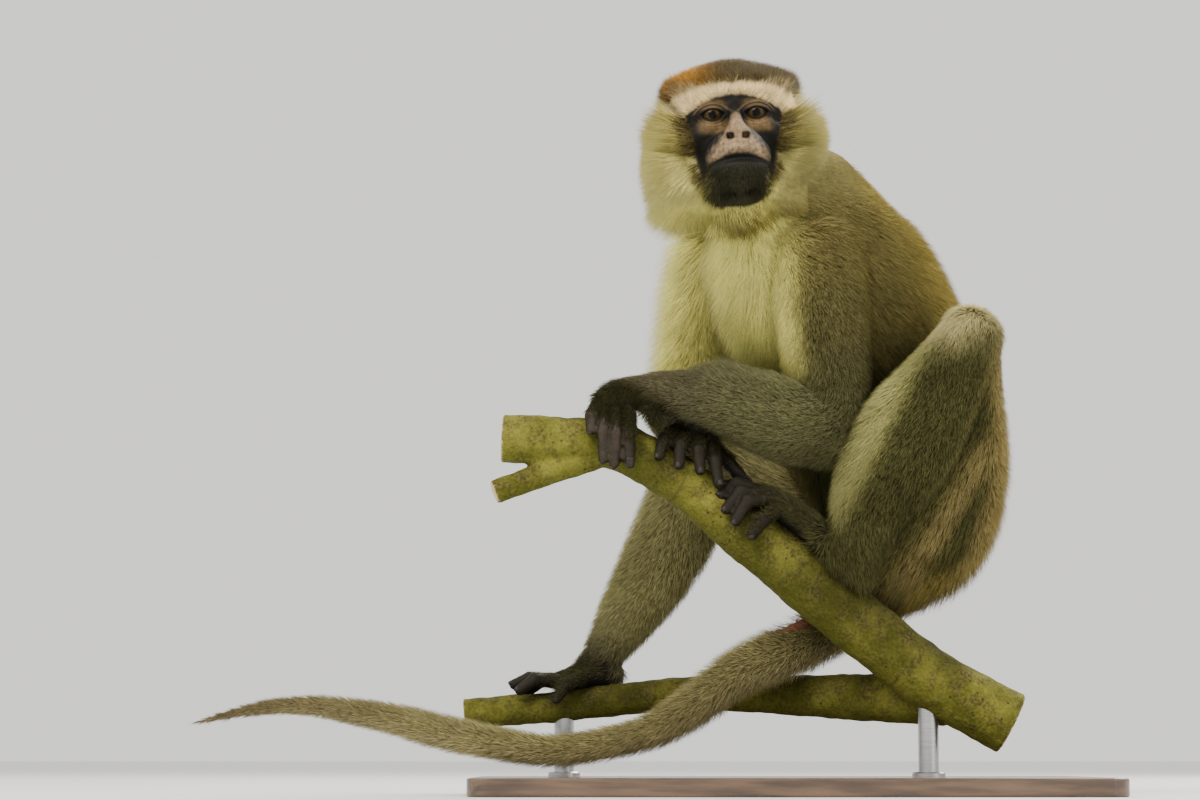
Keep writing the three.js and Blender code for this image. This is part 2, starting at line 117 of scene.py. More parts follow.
def smooth_line(rows: Array, steps: int) -> Array:
    """Points on the smooth curve through some rows.

    Args:
        rows: the stations, one a row, with as many columns as wanted.
        steps: how many points from each station to the next.

    Returns:
        The curve's rows, the first and last station among them.
    """
    padded = np.vstack([2 * rows[0] - rows[1], rows, 2 * rows[-1] - rows[-2]])
    found = []
    for i in range(1, len(padded) - 2):
        before, here, there, after = padded[i - 1 : i + 3]
        for t in np.arange(steps) / steps:
            second = (2 * before - 5 * here + 4 * there - after) * t**2
            third = (3 * here - before - 3 * there + after) * t**3
            found.append(0.5 * (2 * here + (there - before) * t + second + third))
    return np.array([*found, rows[-1]])


def add_object(name: str, mesh: Mesh, smooth: bool = True) -> Object:
    """Shows a mesh in the scene.

    Args:
        name: the object's name.
        mesh: its mesh.
        smooth: whether its faces shade smoothly.

    Returns:
        The object, at the origin.
    """
    mesh.polygons.foreach_set("use_smooth", np.full(len(mesh.polygons), smooth))
    made = bpy.data.objects.new(name, mesh)
    bpy.context.scene.collection.objects.link(made)
    return made


def object_from_arrays(name: str, points: Array, triangles: Array) -> Object:
    """A mesh object of triangles.

    Args:
        name: the piece's name.
        points: rows of x, y and z in millimetres.
        triangles: rows of three point numbers.

    Returns:
        The object, in the scene, at the origin.
    """
    mesh = bpy.data.meshes.new(name)
    mesh.vertices.add(len(points))
    move_points(mesh, points)
    mesh.loops.add(triangles.size)
    mesh.loops.foreach_set("vertex_index", triangles.astype(np.int32).ravel())
    mesh.polygons.add(len(triangles))
    mesh.polygons.foreach_set("loop_start", np.arange(0, triangles.size, 3, dtype=np.int32))
    mesh.update(calc_edges=True)
    return add_object(name, mesh)


def object_from_bmesh(name: str, shape: BMesh, smooth: bool = True) -> Object:
    """An object that holds a finished bmesh, given in millimetres.

    Args:
        name: the piece's name.
        shape: the mesh, which is freed.
        smooth: whether its faces shade smoothly.

    Returns:
        The object, in the scene, at the origin.
    """
    bmesh.ops.scale(shape, vec=(METRES,) * 3, verts=shape.verts)
    mesh = bpy.data.meshes.new(name)
    shape.to_mesh(mesh)
    shape.free()
    return add_object(name, mesh, smooth)


def read_rows(items: object, key: str, kind: type = np.float32, width: int = 3) -> Array:
    """A value of each of a mesh's parts.

    Args:
        items: the mesh's points, edges or corners.
        key: the value's name.
        kind: what its numbers are.
        width: how many numbers each has.

    Returns:
        One part a row.
    """
    flat = np.zeros(len(items) * width, kind)
    items.foreach_get(key, flat)
    return flat.reshape(-1, width)


def points_of(mesh: Mesh) -> Array:
    """A mesh's points in millimetres, one a row."""
    return read_rows(mesh.vertices, "co").astype(float) / METRES


def normals_of(mesh: Mesh) -> Array:
    """A mesh's outward directions at its points, one a row."""
    return read_rows(mesh.vertices, "normal").astype(float)


def edges_of(mesh: Mesh) -> Array:
    """The two point numbers of each of a mesh's edges."""
    return read_rows(mesh.edges, "vertices", np.int32, 2)


def move_points(mesh: Mesh, points: Array) -> None:
    """Sets a mesh's points, given in millimetres."""
    mesh.vertices.foreach_set("co", (points * METRES).astype(np.float32).ravel())


def write_colours(mesh: Mesh, name: str, values: Array) -> None:
    """Stores rows of four numbers, one row a point, as a named attribute of a mesh."""
    attribute = mesh.attributes.new(name, "FLOAT_COLOR", "POINT")
    attribute.data.foreach_set("color", values.astype(np.float32).ravel())


def applied(source: Object) -> Mesh:
    """Replaces an object by the mesh that its modifiers make.

    Args:
        source: the object, which is removed with its own mesh.

    Returns:
        The new mesh.
    """
    graph = bpy.context.evaluated_depsgraph_get()
    mesh = bpy.data.meshes.new_from_object(source.evaluated_get(graph))
    old = source.data
    bpy.data.objects.remove(source)
    bpy.data.meshes.remove(old)
    return mesh


def remeshed(source: Object, voxel: float) -> Mesh:
    """One closed surface round everything in an object, which is removed.

    Args:
        source: the object.
        voxel: the size of the new faces in millimetres.

    Returns:
        The new mesh.
    """
    union = source.modifiers.new("union", "REMESH")
    union.mode = "VOXEL"
    union.voxel_size = voxel * METRES
    return applied(source)


def evened(mesh: Mesh, rounds: int) -> Array:
    """A mesh's points smoothed along its edges without shrinking.

    Args:
        mesh: the mesh, which stays as it is.
        rounds: how often.

    Returns:
        The smoothed points.
    """
    points = points_of(mesh)
    first, second = edges_of(mesh).T
    count = np.bincount(first, minlength=len(points)) + np.bincount(second, minlength=len(points))
    inward, outward = 0.5, -0.52
    for step in range(2 * rounds):
        mean = np.empty_like(points)
        for axis in range(3):
            column = points[:, axis]
            total = np.bincount(first, column[second], len(points))
            total += np.bincount(second, column[first], len(points))
            mean[:, axis] = total / np.maximum(count, 1)
        points = points + (mean - points) * (inward if step % 2 == 0 else outward)
    return points


# ---- Materials


class Graph:
    """The nodes of one material, added one at a time."""

    def __init__(self, name: str) -> None:
        """Starts a material that has only its shader.

        Args:
            name: the material's name.
        """
        self.material = bpy.data.materials.new(name)
        self.material.use_nodes = True
        self.tree = self.material.node_tree
        self.shader = self.tree.nodes["Principled BSDF"]

    def put(self, socket: NodeSocket, value: object) -> None:
        """Links a socket to another one, or sets its value.

        Args:
            socket: the input.
            value: an output, a colour or a number.
        """
        if isinstance(value, NodeSocket):
            self.tree.links.new(value, socket)
        elif isinstance(value, tuple) and len(value) == 3 and socket.type == "RGBA":
            socket.default_value = (*value, 1.0)
        else:
            socket.default_value = value

    def add(
        self, kind: str, inputs: dict | None = None, out: int | str = 0, **settings: object
    ) -> NodeSocket:
        """Adds a node.

        Args:
            kind: the node's type, without ShaderNode.
            inputs: values or sockets by input name or number.
            out: the output to return.
            **settings: the node's own options.

        Returns:
            The chosen output.
        """
        node = self.tree.nodes.new("ShaderNode" + kind)
        for key, value in settings.items():
            setattr(node, key, value)
        for key, value in (inputs or {}).items():
            self.put(node.inputs[key], value)
        return node.outputs[out]

    def place(self) -> NodeSocket:
        """The point's place in metres."""
        return self.add("TexCoord", out="Object")

    def attribute(self, name: str, out: str = "Color") -> NodeSocket:
        """A value stored on the mesh."""
        return self.add("Attribute", out=out, attribute_name=name)

    def channels(self, colour: NodeSocket) -> list[NodeSocket]:
        """A colour's three numbers."""
        return list(self.add("SeparateColor", {0: colour}).node.outputs)

    def maths(self, operation: str, first: object, second: object = 0.0) -> NodeSocket:
        """One step of arithmetic on two numbers."""
        return self.add("Math", {0: first, 1: second}, operation=operation)

    def step(
        self, value: object, start: float, end: float, low: float = 0.0, high: float = 1.0
    ) -> NodeSocket:
        """A value mapped smoothly from start..end to low..high."""
        inputs = {"Value": value, "From Min": start, "From Max": end, "To Min": low, "To Max": high}
        return self.add("MapRange", inputs, interpolation_type="SMOOTHSTEP")

    def mix(self, share: object, first: object, second: object, way: str = "MIX") -> NodeSocket:
        """A share of the second colour mixed into the first, in a named way."""
        inputs = {0: share, 6: first, 7: second}
        return self.add("Mix", inputs, out=2, data_type="RGBA", blend_type=way)

    def dimmed(self, colour: NodeSocket, value: NodeSocket) -> NodeSocket:
        """A colour made darker or brighter by a number."""
        grey = self.add("CombineColor", {0: value, 1: value, 2: value})
        return self.mix(1.0, colour, grey, "MULTIPLY")

    def noise(self, scale: float, detail: float = 3.0, vector: object = None) -> NodeSocket:
        """A cloudy pattern with this many lumps in a metre and this many finer layers."""
        inputs = {"Vector": vector or self.place(), "Scale": scale, "Detail": detail}
        return self.add("TexNoise", inputs)

    def bump(
        self, height: object, strength: float, distance: float, under: object = None
    ) -> NodeSocket:
        """A bump from a height, with its depth in millimetres, on top of the one under it."""
        inputs = {"Height": height, "Strength": strength, "Distance": distance * METRES}
        return self.add("Bump", inputs if under is None else inputs | {"Normal": under})

    def finish(self, **sockets: object) -> Material:
        """Sets the shader's own sockets.

        Args:
            **sockets: values or outputs by the socket's name, with _ for a space.

        Returns:
            The material.
        """
        for key, value in sockets.items():
            self.put(self.shader.inputs[key.replace("_", " ")], value)
        return self.material


@dataclass(frozen=True)
class SkinFinish:
    """Bare dark skin: mottled, finely wrinkled and slightly shiny."""

    name: str = "bare_skin"
    pores_per_metre: float = 900.0
    wrinkles_per_metre: float = 700.0

    def material(self) -> Material:
        """Makes the material.

        Returns:
            The material, which reads the mesh's marking attribute.
        """
        g = Graph(self.name)
        base = g.attribute("marking")
        place = g.place()
        blotch = g.step(g.noise(170.0, 5.0, place), 0.35, 0.7)
        speck = g.step(g.noise(1100.0, 2.0, place), 0.42, 0.62)
        blotches = g.mix(blotch, (0.55, 0.52, 0.5), (1.25, 1.2, 1.16))
        specks = g.mix(speck, (0.5, 0.5, 0.5), (1.2, 1.2, 1.2))
        colour = g.mix(0.35, g.mix(0.6, base, blotches, "MULTIPLY"), specks, "MULTIPLY")
        cell = {"Vector": place, "Scale": self.wrinkles_per_metre}
        cells = g.add("TexVoronoi", cell, out="Distance", feature="DISTANCE_TO_EDGE")
        creases = g.bump(g.step(cells, 0.0, 0.2), 0.18, 0.15)
        pores = g.bump(g.noise(self.pores_per_metre, 4.0, place), 0.6, 0.35, creases)
        roughness = g.step(blotch, 0.0, 1.0, 0.58, 0.74)
        return g.finish(Base_Color=colour, Roughness=roughness, Normal=pores, Specular_IOR_Level=0.16)


@dataclass(frozen=True)
class CoatFinish:
    """Grizzled hair: each tuft is dark at the root, banded, and tipped light or dark."""

    name: str
    root_shade: float
    roughness: float = 0.75

    def material(self) -> Material:
        """Makes the material.

        Returns:
            The material, which reads the marking and tuft attributes.
        """
        g = Graph(self.name)
        base = g.attribute("marking")
        grizzle = g.attribute("marking", "Alpha")
        along, chance, second = g.channels(g.attribute("tuft"))
        root = g.step(along, 0.05, 0.62)
        banded = g.maths("ADD", along, g.maths("MULTIPLY", chance, 0.9))
        light_tip = g.step(g.maths("FRACT", banded), 0.25, 0.6)
        dark = g.mix(1.0, base, (0.36, 0.34, 0.3), "MULTIPLY")
        light = g.mix(1.0, base, (1.5, 1.46, 1.4), "MULTIPLY")
        colour = g.mix(grizzle, base, g.mix(light_tip, dark, light))
        colour = g.dimmed(colour, g.step(second, 0.0, 1.0, 0.72, 1.22))
        shadow = g.mix(1.0, colour, (self.root_shade,) * 3, "MULTIPLY")
        colour = g.mix(root, shadow, colour)
        return g.finish(Base_Color=colour, Roughness=self.roughness, Specular_IOR_Level=0.12)


@dataclass(frozen=True)
class EyeFinish:
    """A wet brown eye: dark pupil, streaked iris, dark rim and brown white."""

    name: str = "eye_wet"
    pupil: float = 0.27
    iris: float = 0.76

    def material(self) -> Material:
        """Makes the material.

        Returns:
            The material, which reads the angle from the line of sight as an attribute.
        """
        g = Graph(self.name)
        angle = g.attribute("gaze", "Fac")
        streaks = g.noise(900.0, 4.0)
        inner = g.mix(g.step(streaks, 0.35, 0.65), (0.028, 0.019, 0.007), (0.05, 0.034, 0.014))
        iris = g.mix(g.step(angle, self.pupil + 0.12, self.iris), inner, (0.018, 0.012, 0.006))
        seen = g.mix(g.step(angle, self.pupil - 0.02, self.pupil + 0.03), (0.003, 0.003, 0.003), iris)
        rim = g.mix(g.step(angle, self.iris - 0.09, self.iris - 0.01), seen, (0.012, 0.008, 0.005))
        white = g.mix(g.step(angle, self.iris, self.iris + 0.1), rim, (0.07, 0.045, 0.028))
        return g.finish(Base_Color=white, Roughness=0.11, Specular_IOR_Level=0.08)


@dataclass(frozen=True)
class NailFinish:
    """Dark horny nails with lengthwise grain."""

    name: str = "nail_horn"

    def material(self) -> Material:
        """Makes the material.

        Returns:
            The material.
        """
        g = Graph(self.name)
        grain = g.noise(1600.0, 3.0)
        colour = g.mix(g.step(grain, 0.3, 0.7), (0.012, 0.01, 0.008), (0.035, 0.028, 0.02))
        bumpy = g.bump(grain, 0.2, 0.15)
        return g.finish(Base_Color=colour, Roughness=0.5, Normal=bumpy, Specular_IOR_Level=0.2)


@dataclass(frozen=True)
class BarkFinish:
    """Yellow-green bark with brown mottling, dark specks and ring scars, painted shade on its underside,
    and pale cut ends.
    """

    name: str = "bark_green"
    year_rings: float = 11.0

    def material(self) -> Material:
        """Makes the material.

        Returns:
            The material, which reads how far out from the stem's middle and along it a point is.
        """
        g = Graph(self.name)
        place = g.place()
        broad = g.step(g.noise(28.0, 4.0, place), 0.38, 0.62)
        patch = g.step(g.noise(95.0, 6.0, place), 0.44, 0.6)
        fine = g.noise(520.0, 5.0, place)
        green = g.mix(broad, (0.062, 0.06, 0.007), (0.15, 0.142, 0.024))
        brown = g.mix(g.step(fine, 0.35, 0.65), (0.042, 0.034, 0.01), (0.1, 0.084, 0.027))
        colour = g.mix(g.maths("MULTIPLY", patch, 0.58), green, brown)
        cloud = g.step(g.noise(11.0, 5.0, place), 0.42, 0.6, 0.55, 1.1)
        colour = g.dimmed(colour, cloud)
        # Painted shade: where the bark faces down, its colour turns to a dark green, as on a shaded
        # underside.
        upward = g.add("SeparateXYZ", {0: g.add("NewGeometry", out="Normal")}, out="Z")
        below = g.maths("MULTIPLY", g.step(upward, 0.1, -0.8), 0.55)
        colour = g.mix(below, colour, (0.11, 0.115, 0.016))
        flecks = g.mix(g.step(fine, 0.3, 0.7), (0.6, 0.6, 0.6), (1.3, 1.3, 1.25))
        colour = g.mix(0.55, colour, flecks, "MULTIPLY")
        dots = g.add("TexVoronoi", {"Vector": place, "Scale": 210.0, "Randomness": 1.0}, out="Distance")
        strewn = g.step(g.noise(60.0, 2.0, place), 0.46, 0.58)
        dotted = g.maths("MULTIPLY", g.step(dots, 0.24, 0.1), strewn)
        colour = g.mix(dotted, colour, (0.045, 0.03, 0.015))
        out, along, sawn = g.channels(g.attribute("stem"))
        wave = g.maths("ADD", along, g.maths("MULTIPLY", g.noise(45.0, 2.0, place), 0.25))
        scar = g.step(g.maths("PINGPONG", wave, 0.5), 0.455, 0.495)
        broken = g.maths("MULTIPLY", scar, g.step(g.noise(38.0, 2.0, place), 0.5, 0.65))
        colour = g.mix(g.maths("MULTIPLY", broken, 0.6), colour, (0.06, 0.045, 0.015))
        rings = g.maths("PINGPONG", g.maths("MULTIPLY", out, self.year_rings), 1.0)
        wood = g.mix(g.step(rings, 0.1, 0.9), (0.5, 0.38, 0.2), (0.62, 0.5, 0.3))
        colour = g.mix(sawn, colour, wood)
        relief = g.bump(fine, 0.6, 1.0)
        relief = g.bump(g.maths("SUBTRACT", patch, dotted), 0.5, 0.8, relief)
        return g.finish(Base_Color=colour, Roughness=0.86, Specular_IOR_Level=0.12, Normal=relief)


@dataclass(frozen=True)
class StandWoodFinish:
    """Dark stained wood with a satin varnish and grain along its length."""

    name: str = "stand_walnut"

    def material(self) -> Material:
        """Makes the material.

        Returns:
            The material.
        """
        g = Graph(self.name)
        drawn = g.add("Mapping", {"Vector": g.place(), "Scale": (3.0, 30.0, 30.0)})
        grain = g.noise(6.0, 6.0, drawn)
        colour = g.mix(g.step(grain, 0.3, 0.7), (0.045, 0.024, 0.013), (0.13, 0.075, 0.04))
        relief = g.bump(grain, 0.15, 0.4)
        return g.finish(Base_Color=colour, Roughness=0.38, Coat_Weight=0.35, Normal=relief)


@dataclass(frozen=True)
class RodFinish:
    """Steel brushed round the rod."""

    name: str = "rod_steel"

    def material(self) -> Material:
        """Makes the material.

        Returns:
            The material.
        """
        g = Graph(self.name)
        drawn = g.add("Mapping", {"Vector": g.place(), "Scale": (20.0, 20.0, 2000.0)})
        lines = g.noise(3.0, 3.0, drawn)
        colour = g.mix(g.step(lines, 0.3, 0.7), (0.32, 0.32, 0.33), (0.5, 0.5, 0.51))
        roughness = g.step(lines, 0.3, 0.7, 0.28, 0.4)
        return g.finish(Base_Color=colour, Metallic=1.0, Roughness=roughness)


@dataclass(frozen=True)
class FloorFinish:
    """A plain pale floor."""

    name: str = "floor_pale"

    def material(self) -> Material:
        """Makes the material.

        Returns:
            The material.
        """
        g = Graph(self.name)
        cloud = g.step(g.noise(3.0, 2.0), 0.2, 0.8, 0.6, 0.7)
        return g.finish(Base_Color=(0.78, 0.78, 0.77), Roughness=cloud)


# ---- The body's lines


class Region(Enum):
    """Coat pieces, and the lengths of the body that they cover."""

    CROWN = "coat_crown"
    LEFT_RUFF = "coat_left_ruff"
    RIGHT_RUFF = "coat_right_ruff"
    CHEST = "coat_chest"
    BACK = "coat_back"
    RUMP = "coat_rump"
    LEFT_ARM = "coat_left_arm"
    RIGHT_ARM = "coat_right_arm"
    LEFT_LEG = "coat_left_leg"
    RIGHT_LEG = "coat_right_leg"
    TAIL = "coat_tail"


@dataclass(frozen=True)
class Line:
    """A length of the body round a line.

    Attributes:
        region: the coat piece that covers it.
        stations: rows of x, y, z, half width, half width along `side`, and depth of coat.
        side: the direction of the second half width.
        hair: hair length at its first and last station.
        steps: points from station to station.
        hang: the way its hair hangs, or None where it runs along the line.
    """

    region: Region
    stations: tuple[tuple[float, ...], ...]
    side: Vec = (0.0, 1.0, 0.0)
    hair: tuple[float, float] = (14.0, 14.0)
    steps: int = 6
    hang: Vec | None = None

    def rows(self) -> Array:
        """The line's rows, close together.

        Returns:
            Rows of x, y, z, both half widths of the skin, and depth of coat.
        """
        rows = smooth_line(np.array(self.stations, float), self.steps)
        rows[:, 5] *= COVER
        rows[:, 3:5] = np.maximum(rows[:, 3:5] - rows[:, 5:6], THINNEST)
        return rows

    def tangents(self) -> Array:
        """The line's direction at each of its rows."""
        return unit(np.gradient(self.rows()[:, :3], axis=0))


TRUNK = Line(
    Region.BACK,
    (
        (9, 28, 414, 57, 53, 13), (18, 28, 382, 73, 61, 15), (34, 30, 344, 85, 66, 15),
        (52, 32, 306, 87, 66, 15), (70, 35, 268, 85, 65, 15), (84, 30, 227, 80, 64, 14),
        (87, 24, 192, 64, 58, 13), (66, 2, 158, 42, 42, 10),
    ),
    side=(0.55, -0.84, 0.0),
    hair=(26.0, 27.0),
    steps=7,
)
NECK = Line(
    Region.BACK,
    ((-27, 4, 444, 42, 40, 14), (-12, 14, 424, 51, 47, 16), (4, 26, 400, 58, 52, 16)),
    side=(0.7, -0.7, 0.0),
    hair=(24.0, 26.0),
)
LEFT_UPPER_ARM = Line(
    Region.LEFT_ARM,
    (
        (18, -12, 372, 35, 30, 10), (23, -30, 328, 32, 29, 9), (27, -42, 284, 31, 28, 8),
        (30, -49, 254, 28, 27, 7),
    ),
    hair=(19.0, 15.0),
    steps=10,
)
LEFT_FOREARM = Line(
    Region.LEFT_ARM,
    (
        (26, -51, 246, 30, 28, 7), (-1, -55, 249, 31, 27, 7), (-33, -54, 259, 26, 23, 6),
        (-60, -52, 263, 21, 19, 5), (-88, -50, 266, 16, 15, 2.5),
    ),
    hair=(14.0, 8.0),
    steps=8,
)
RIGHT_UPPER_ARM = Line(
    Region.RIGHT_ARM,
    (
        (-40, 56, 384, 33, 34, 14), (-52, 74, 336, 29, 30, 12), (-59, 84, 291, 27, 28, 11),
        (-66, 86, 272, 24, 25, 9),
    ),
    hair=(19.0, 15.0),
    steps=10,
)
RIGHT_FOREARM = Line(
    Region.RIGHT_ARM,
    (
        (-67, 84, 270, 25, 24, 7), (-68, 50, 262, 24, 23, 6), (-66, 10, 252, 18, 18, 4),
        (-65, -16, 245, 13, 14, 2),
    ),
    side=(0.0, 0.0, 1.0),
    hair=(14.0, 7.0),
    steps=8,
)
LEFT_THIGH = Line(
    Region.LEFT_LEG,
    (
        (96, -8, 186, 46, 36, 11), (105, -30, 224, 44, 34, 10), (112, -50, 266, 34, 30, 8),
        (121, -63, 306, 22, 24, 6),
    ),
    hair=(20.0, 13.0),
    steps=10,
    hang=(-0.35, -0.6, -0.72),
)
LEFT_SHIN = Line(
    Region.LEFT_LEG,
    (
        (123, -67, 307, 22, 22, 6), (101, -70, 270, 31, 25, 7), (74, -67, 230, 37, 26, 7),
        (54, -60, 193, 29, 22, 6), (44, -56, 165, 16, 14, 3),
    ),
    hair=(13.0, 14.0),
    steps=9,
)
RIGHT_THIGH = Line(
    Region.RIGHT_LEG,
    ((70, 62, 182, 48, 40, 11), (13, 66, 206, 42, 38, 10), (-44, 66, 230, 33, 32, 8)),
    hair=(20.0, 14.0),
    steps=14,
)
RIGHT_SHIN = Line(
    Region.RIGHT_LEG,
    (
        (-54, 65, 228, 32, 30, 8), (-72, 60, 184, 32, 28, 7), (-88, 56, 152, 29, 26, 6),
        (-104, 51, 126, 24, 21, 5), (-118, 47, 104, 18, 17, 4), (-127, 45, 89, 13, 14, 2.5),
    ),
    hair=(14.0, 8.0),
    steps=7,
)
TAIL = Line(
    Region.TAIL,
    (
        (78, 66, 160, 24, 24, 11), (59, 43, 136, 24, 24, 11), (33, 17, 114, 22, 22, 10),
        (1, -3, 97, 21.5, 21.5, 9.5), (-33, -17, 81, 19, 19, 8.5), (-66, -25, 57, 16.5, 16.5, 7),
        (-99, -27, 40, 13.5, 13.5, 5.5), (-152, -27, 30, 12.5, 12.5, 5), (-191, -25, 34, 13, 13, 5),
        (-231, -19, 42, 13.5, 13.5, 5), (-258, -11, 49, 12.5, 12.5, 4.8), (-299, 3, 57, 10, 10, 4),
        (-327, 15, 60, 8, 8, 3.4), (-355, 30, 59, 6.5, 6.5, 3), (-384, 47, 54, 4.5, 4.5, 2.4),
        (-404, 58, 49, 3, 3, 1.8),
    ),
    side=(0.0, 0.0, 1.0),
    hair=(14.0, 8.0),
    steps=13,
)
LINES = (
    TRUNK, NECK, LEFT_UPPER_ARM, LEFT_FOREARM, RIGHT_UPPER_ARM, RIGHT_FOREARM, LEFT_THIGH, LEFT_SHIN,
    RIGHT_THIGH, RIGHT_SHIN, TAIL,
)


# ---- Soft forms


@dataclass(frozen=True)
class Lobe:
    """An ellipsoid that melts into the form before it.

    Attributes:
        at: its middle.
        r: its three half widths.
        soft: how widely it melts in.
        tilt: degrees that it turns about the X axis.
    """

    at: Vec
    r: Vec
    soft: float
    tilt: float = 0.0

    def distance(self, points: Array) -> Array:
        """How far outside it points are, near enough close to it.

        Args:
            points: rows of x, y and z.

        Returns:
            One number a row.
        """
        offset = points - np.array(self.at)
        if self.tilt:
            offset = offset @ tilt(self.tilt)
        scaled = offset / np.array(self.r)
        size = np.linalg.norm(scaled, axis=1)
        slope = np.linalg.norm(scaled / np.array(self.r), axis=1)
        return size * (size - 1.0) / np.maximum(slope, 1e-6)

    def mirrored(self) -> "Lobe":
        """The same lobe on the animal's other side."""
        return Lobe((-self.at[0], self.at[1], self.at[2]), self.r, self.soft, self.tilt)


@dataclass(frozen=True)
class Bar:
    """A bar with round ends that melts into the form before it.

    Attributes:
        start: the middle of its first end.
        end: the middle of its last end.
        r: its half width at both.
        soft: how widely it melts in.
    """

    start: Vec
    end: Vec
    r: tuple[float, float]
    soft: float

    def distance(self, points: Array) -> Array:
        """How far outside it points are.

        Args:
            points: rows of x, y and z.

        Returns:
            One number a row.
        """
        start, way = np.array(self.start, float), np.array(self.end, float) - np.array(self.start)
        offset = points - start
        share = np.clip(offset @ way / max(way @ way, 1e-9), 0.0, 1.0)
        width = self.r[0] + (self.r[1] - self.r[0]) * share
        return np.linalg.norm(offset - share[:, None] * way, axis=1) - width

    def mirrored(self) -> "Bar":
        """The same bar on the animal's other side."""
        (a, b, c), (d, e, f) = self.start, self.end
        return Bar((-a, b, c), (-d, e, f), self.r, self.soft)


@dataclass(frozen=True)
class EyeLids:
    """The lids of one eye: an almond opening and the folds round it.

    Attributes:
        at: the eye's middle in the head's frame.
        half_width: from the middle of the opening to a corner.
        rise: half its height above the line of sight.
        fall: half its height below.
        drop: degrees that the line of sight points down.
        inside: how far from the eye's middle the skin goes on behind the lids.
        folds: for each fold, 1 above the eye or -1 below, its distance from the lids' edge, its
            width and its depth.
    """

    at: Vec
    half_width: float = 8.4
    rise: float = 3.9
    fall: float = 4.7
    drop: float = 15.0
    inside: float = 8.3
    folds: tuple[tuple[float, ...], ...] = (
        (1, 2.9, 0.55, 0.75), (1, 5.6, 0.6, 0.3), (-1, 2.2, 0.5, 0.3), (-1, 4.3, 0.5, 0.28),
        (-1, 7.4, 1.0, 0.7),
    )

    def local(self, points: Array) -> Array:
        """Points turned so that -Y is the line of sight, from the eye's middle."""
        return (points - np.array(self.at)) @ tilt(self.drop)

    def almond(self, x: Array, z: Array) -> Array:
        """How far outside the opening's outline points are, seen from the front.

        Args:
            x: how far each is to the side.
            z: how far each is above the line of sight.

        Returns:
            One number a point.
        """
        found = []
        for height, way in ((self.rise, 1.0), (self.fall, -1.0)):
            radius = (self.half_width**2 + height**2) / (2 * height)
            found.append(np.hypot(x, z * way + radius - height) - radius)
        return np.maximum(*found)

    def shape(self, points: Array) -> Array:
        """Opens the lids and presses in the folds.

        Args:
            points: rows of x, y and z in the head's frame, on the closed skin.

        Returns:
            The moved points.
        """
        near, edge = 17.0, 0.35
        x, y, z = self.local(points).T
        offset = points - np.array(self.at)
        reach = np.linalg.norm(offset, axis=1)
        facing = ramp(y, 0.0, -4.0) * ramp(reach, near, near - 3.0)
        almond = self.almond(x, z)
        moved = reach.copy()
        for way, away, width, depth in self.folds:
            side = ramp(z * way, -1.0, 1.5)
            moved -= depth * np.exp(-(((almond - away) / width) ** 2)) * side * facing
        rim = np.exp(-(((almond - 0.9) / 0.7) ** 2)) * facing
        moved += 0.25 * rim
        opened = ramp(almond, edge, -edge) * (y < -2.0) * (reach < near)
        moved = moved * (1.0 - opened) + self.inside * opened
        return np.array(self.at) + offset * (moved / np.maximum(reach, 1e-6))[:, None]


@dataclass
class SoftForm:
    """Lobes and bars melted into one surface, with others cut out of it.

    Attributes:
        adds: what it is made of, in order.
        cuts: what is cut out of it.
    """

    adds: list
    cuts: list = field(default_factory=list)

    def distance(self, points: Array) -> Array:
        """How far outside the surface points are.

        Args:
            points: rows of x, y and z.

        Returns:
            One number a row.
        """
        depth = np.full(len(points), 1e3)
        for part in self.adds:
            other = part.distance(points)
            overlap = np.maximum(part.soft - np.abs(depth - other), 0.0) / part.soft
            depth = np.minimum(depth, other) - overlap**2 * part.soft / 4.0
        for part in self.cuts:
            other = -part.distance(points)
            overlap = np.maximum(part.soft - np.abs(depth - other), 0.0) / part.soft
            depth = np.maximum(depth, other) + overlap**2 * part.soft / 4.0
        return depth

    def settle(self, points: Array, share: Array, rounds: int) -> Array:
        """Moves points onto the surface.

        Args:
            points: rows of x, y and z.
            share: how far each goes, 0 to 1.
            rounds: how many steps.

        Returns:
            The moved points.
        """
        reach, longest = 0.05, 3.0
        start = points.copy()
        for _ in range(rounds):
            depth = self.distance(points)
            slope = np.empty_like(points)
            for axis in range(3):
                shifted = points.copy()
                shifted[:, axis] += reach
                slope[:, axis] = (self.distance(shifted) - depth) / reach
            size = np.maximum(np.linalg.norm(slope, axis=1), 0.3)
            move = np.clip(depth / size, -longest, longest)
            points = points - slope * (move / size)[:, None]
        return start + (points - start) * share[:, None]


# ---- Head


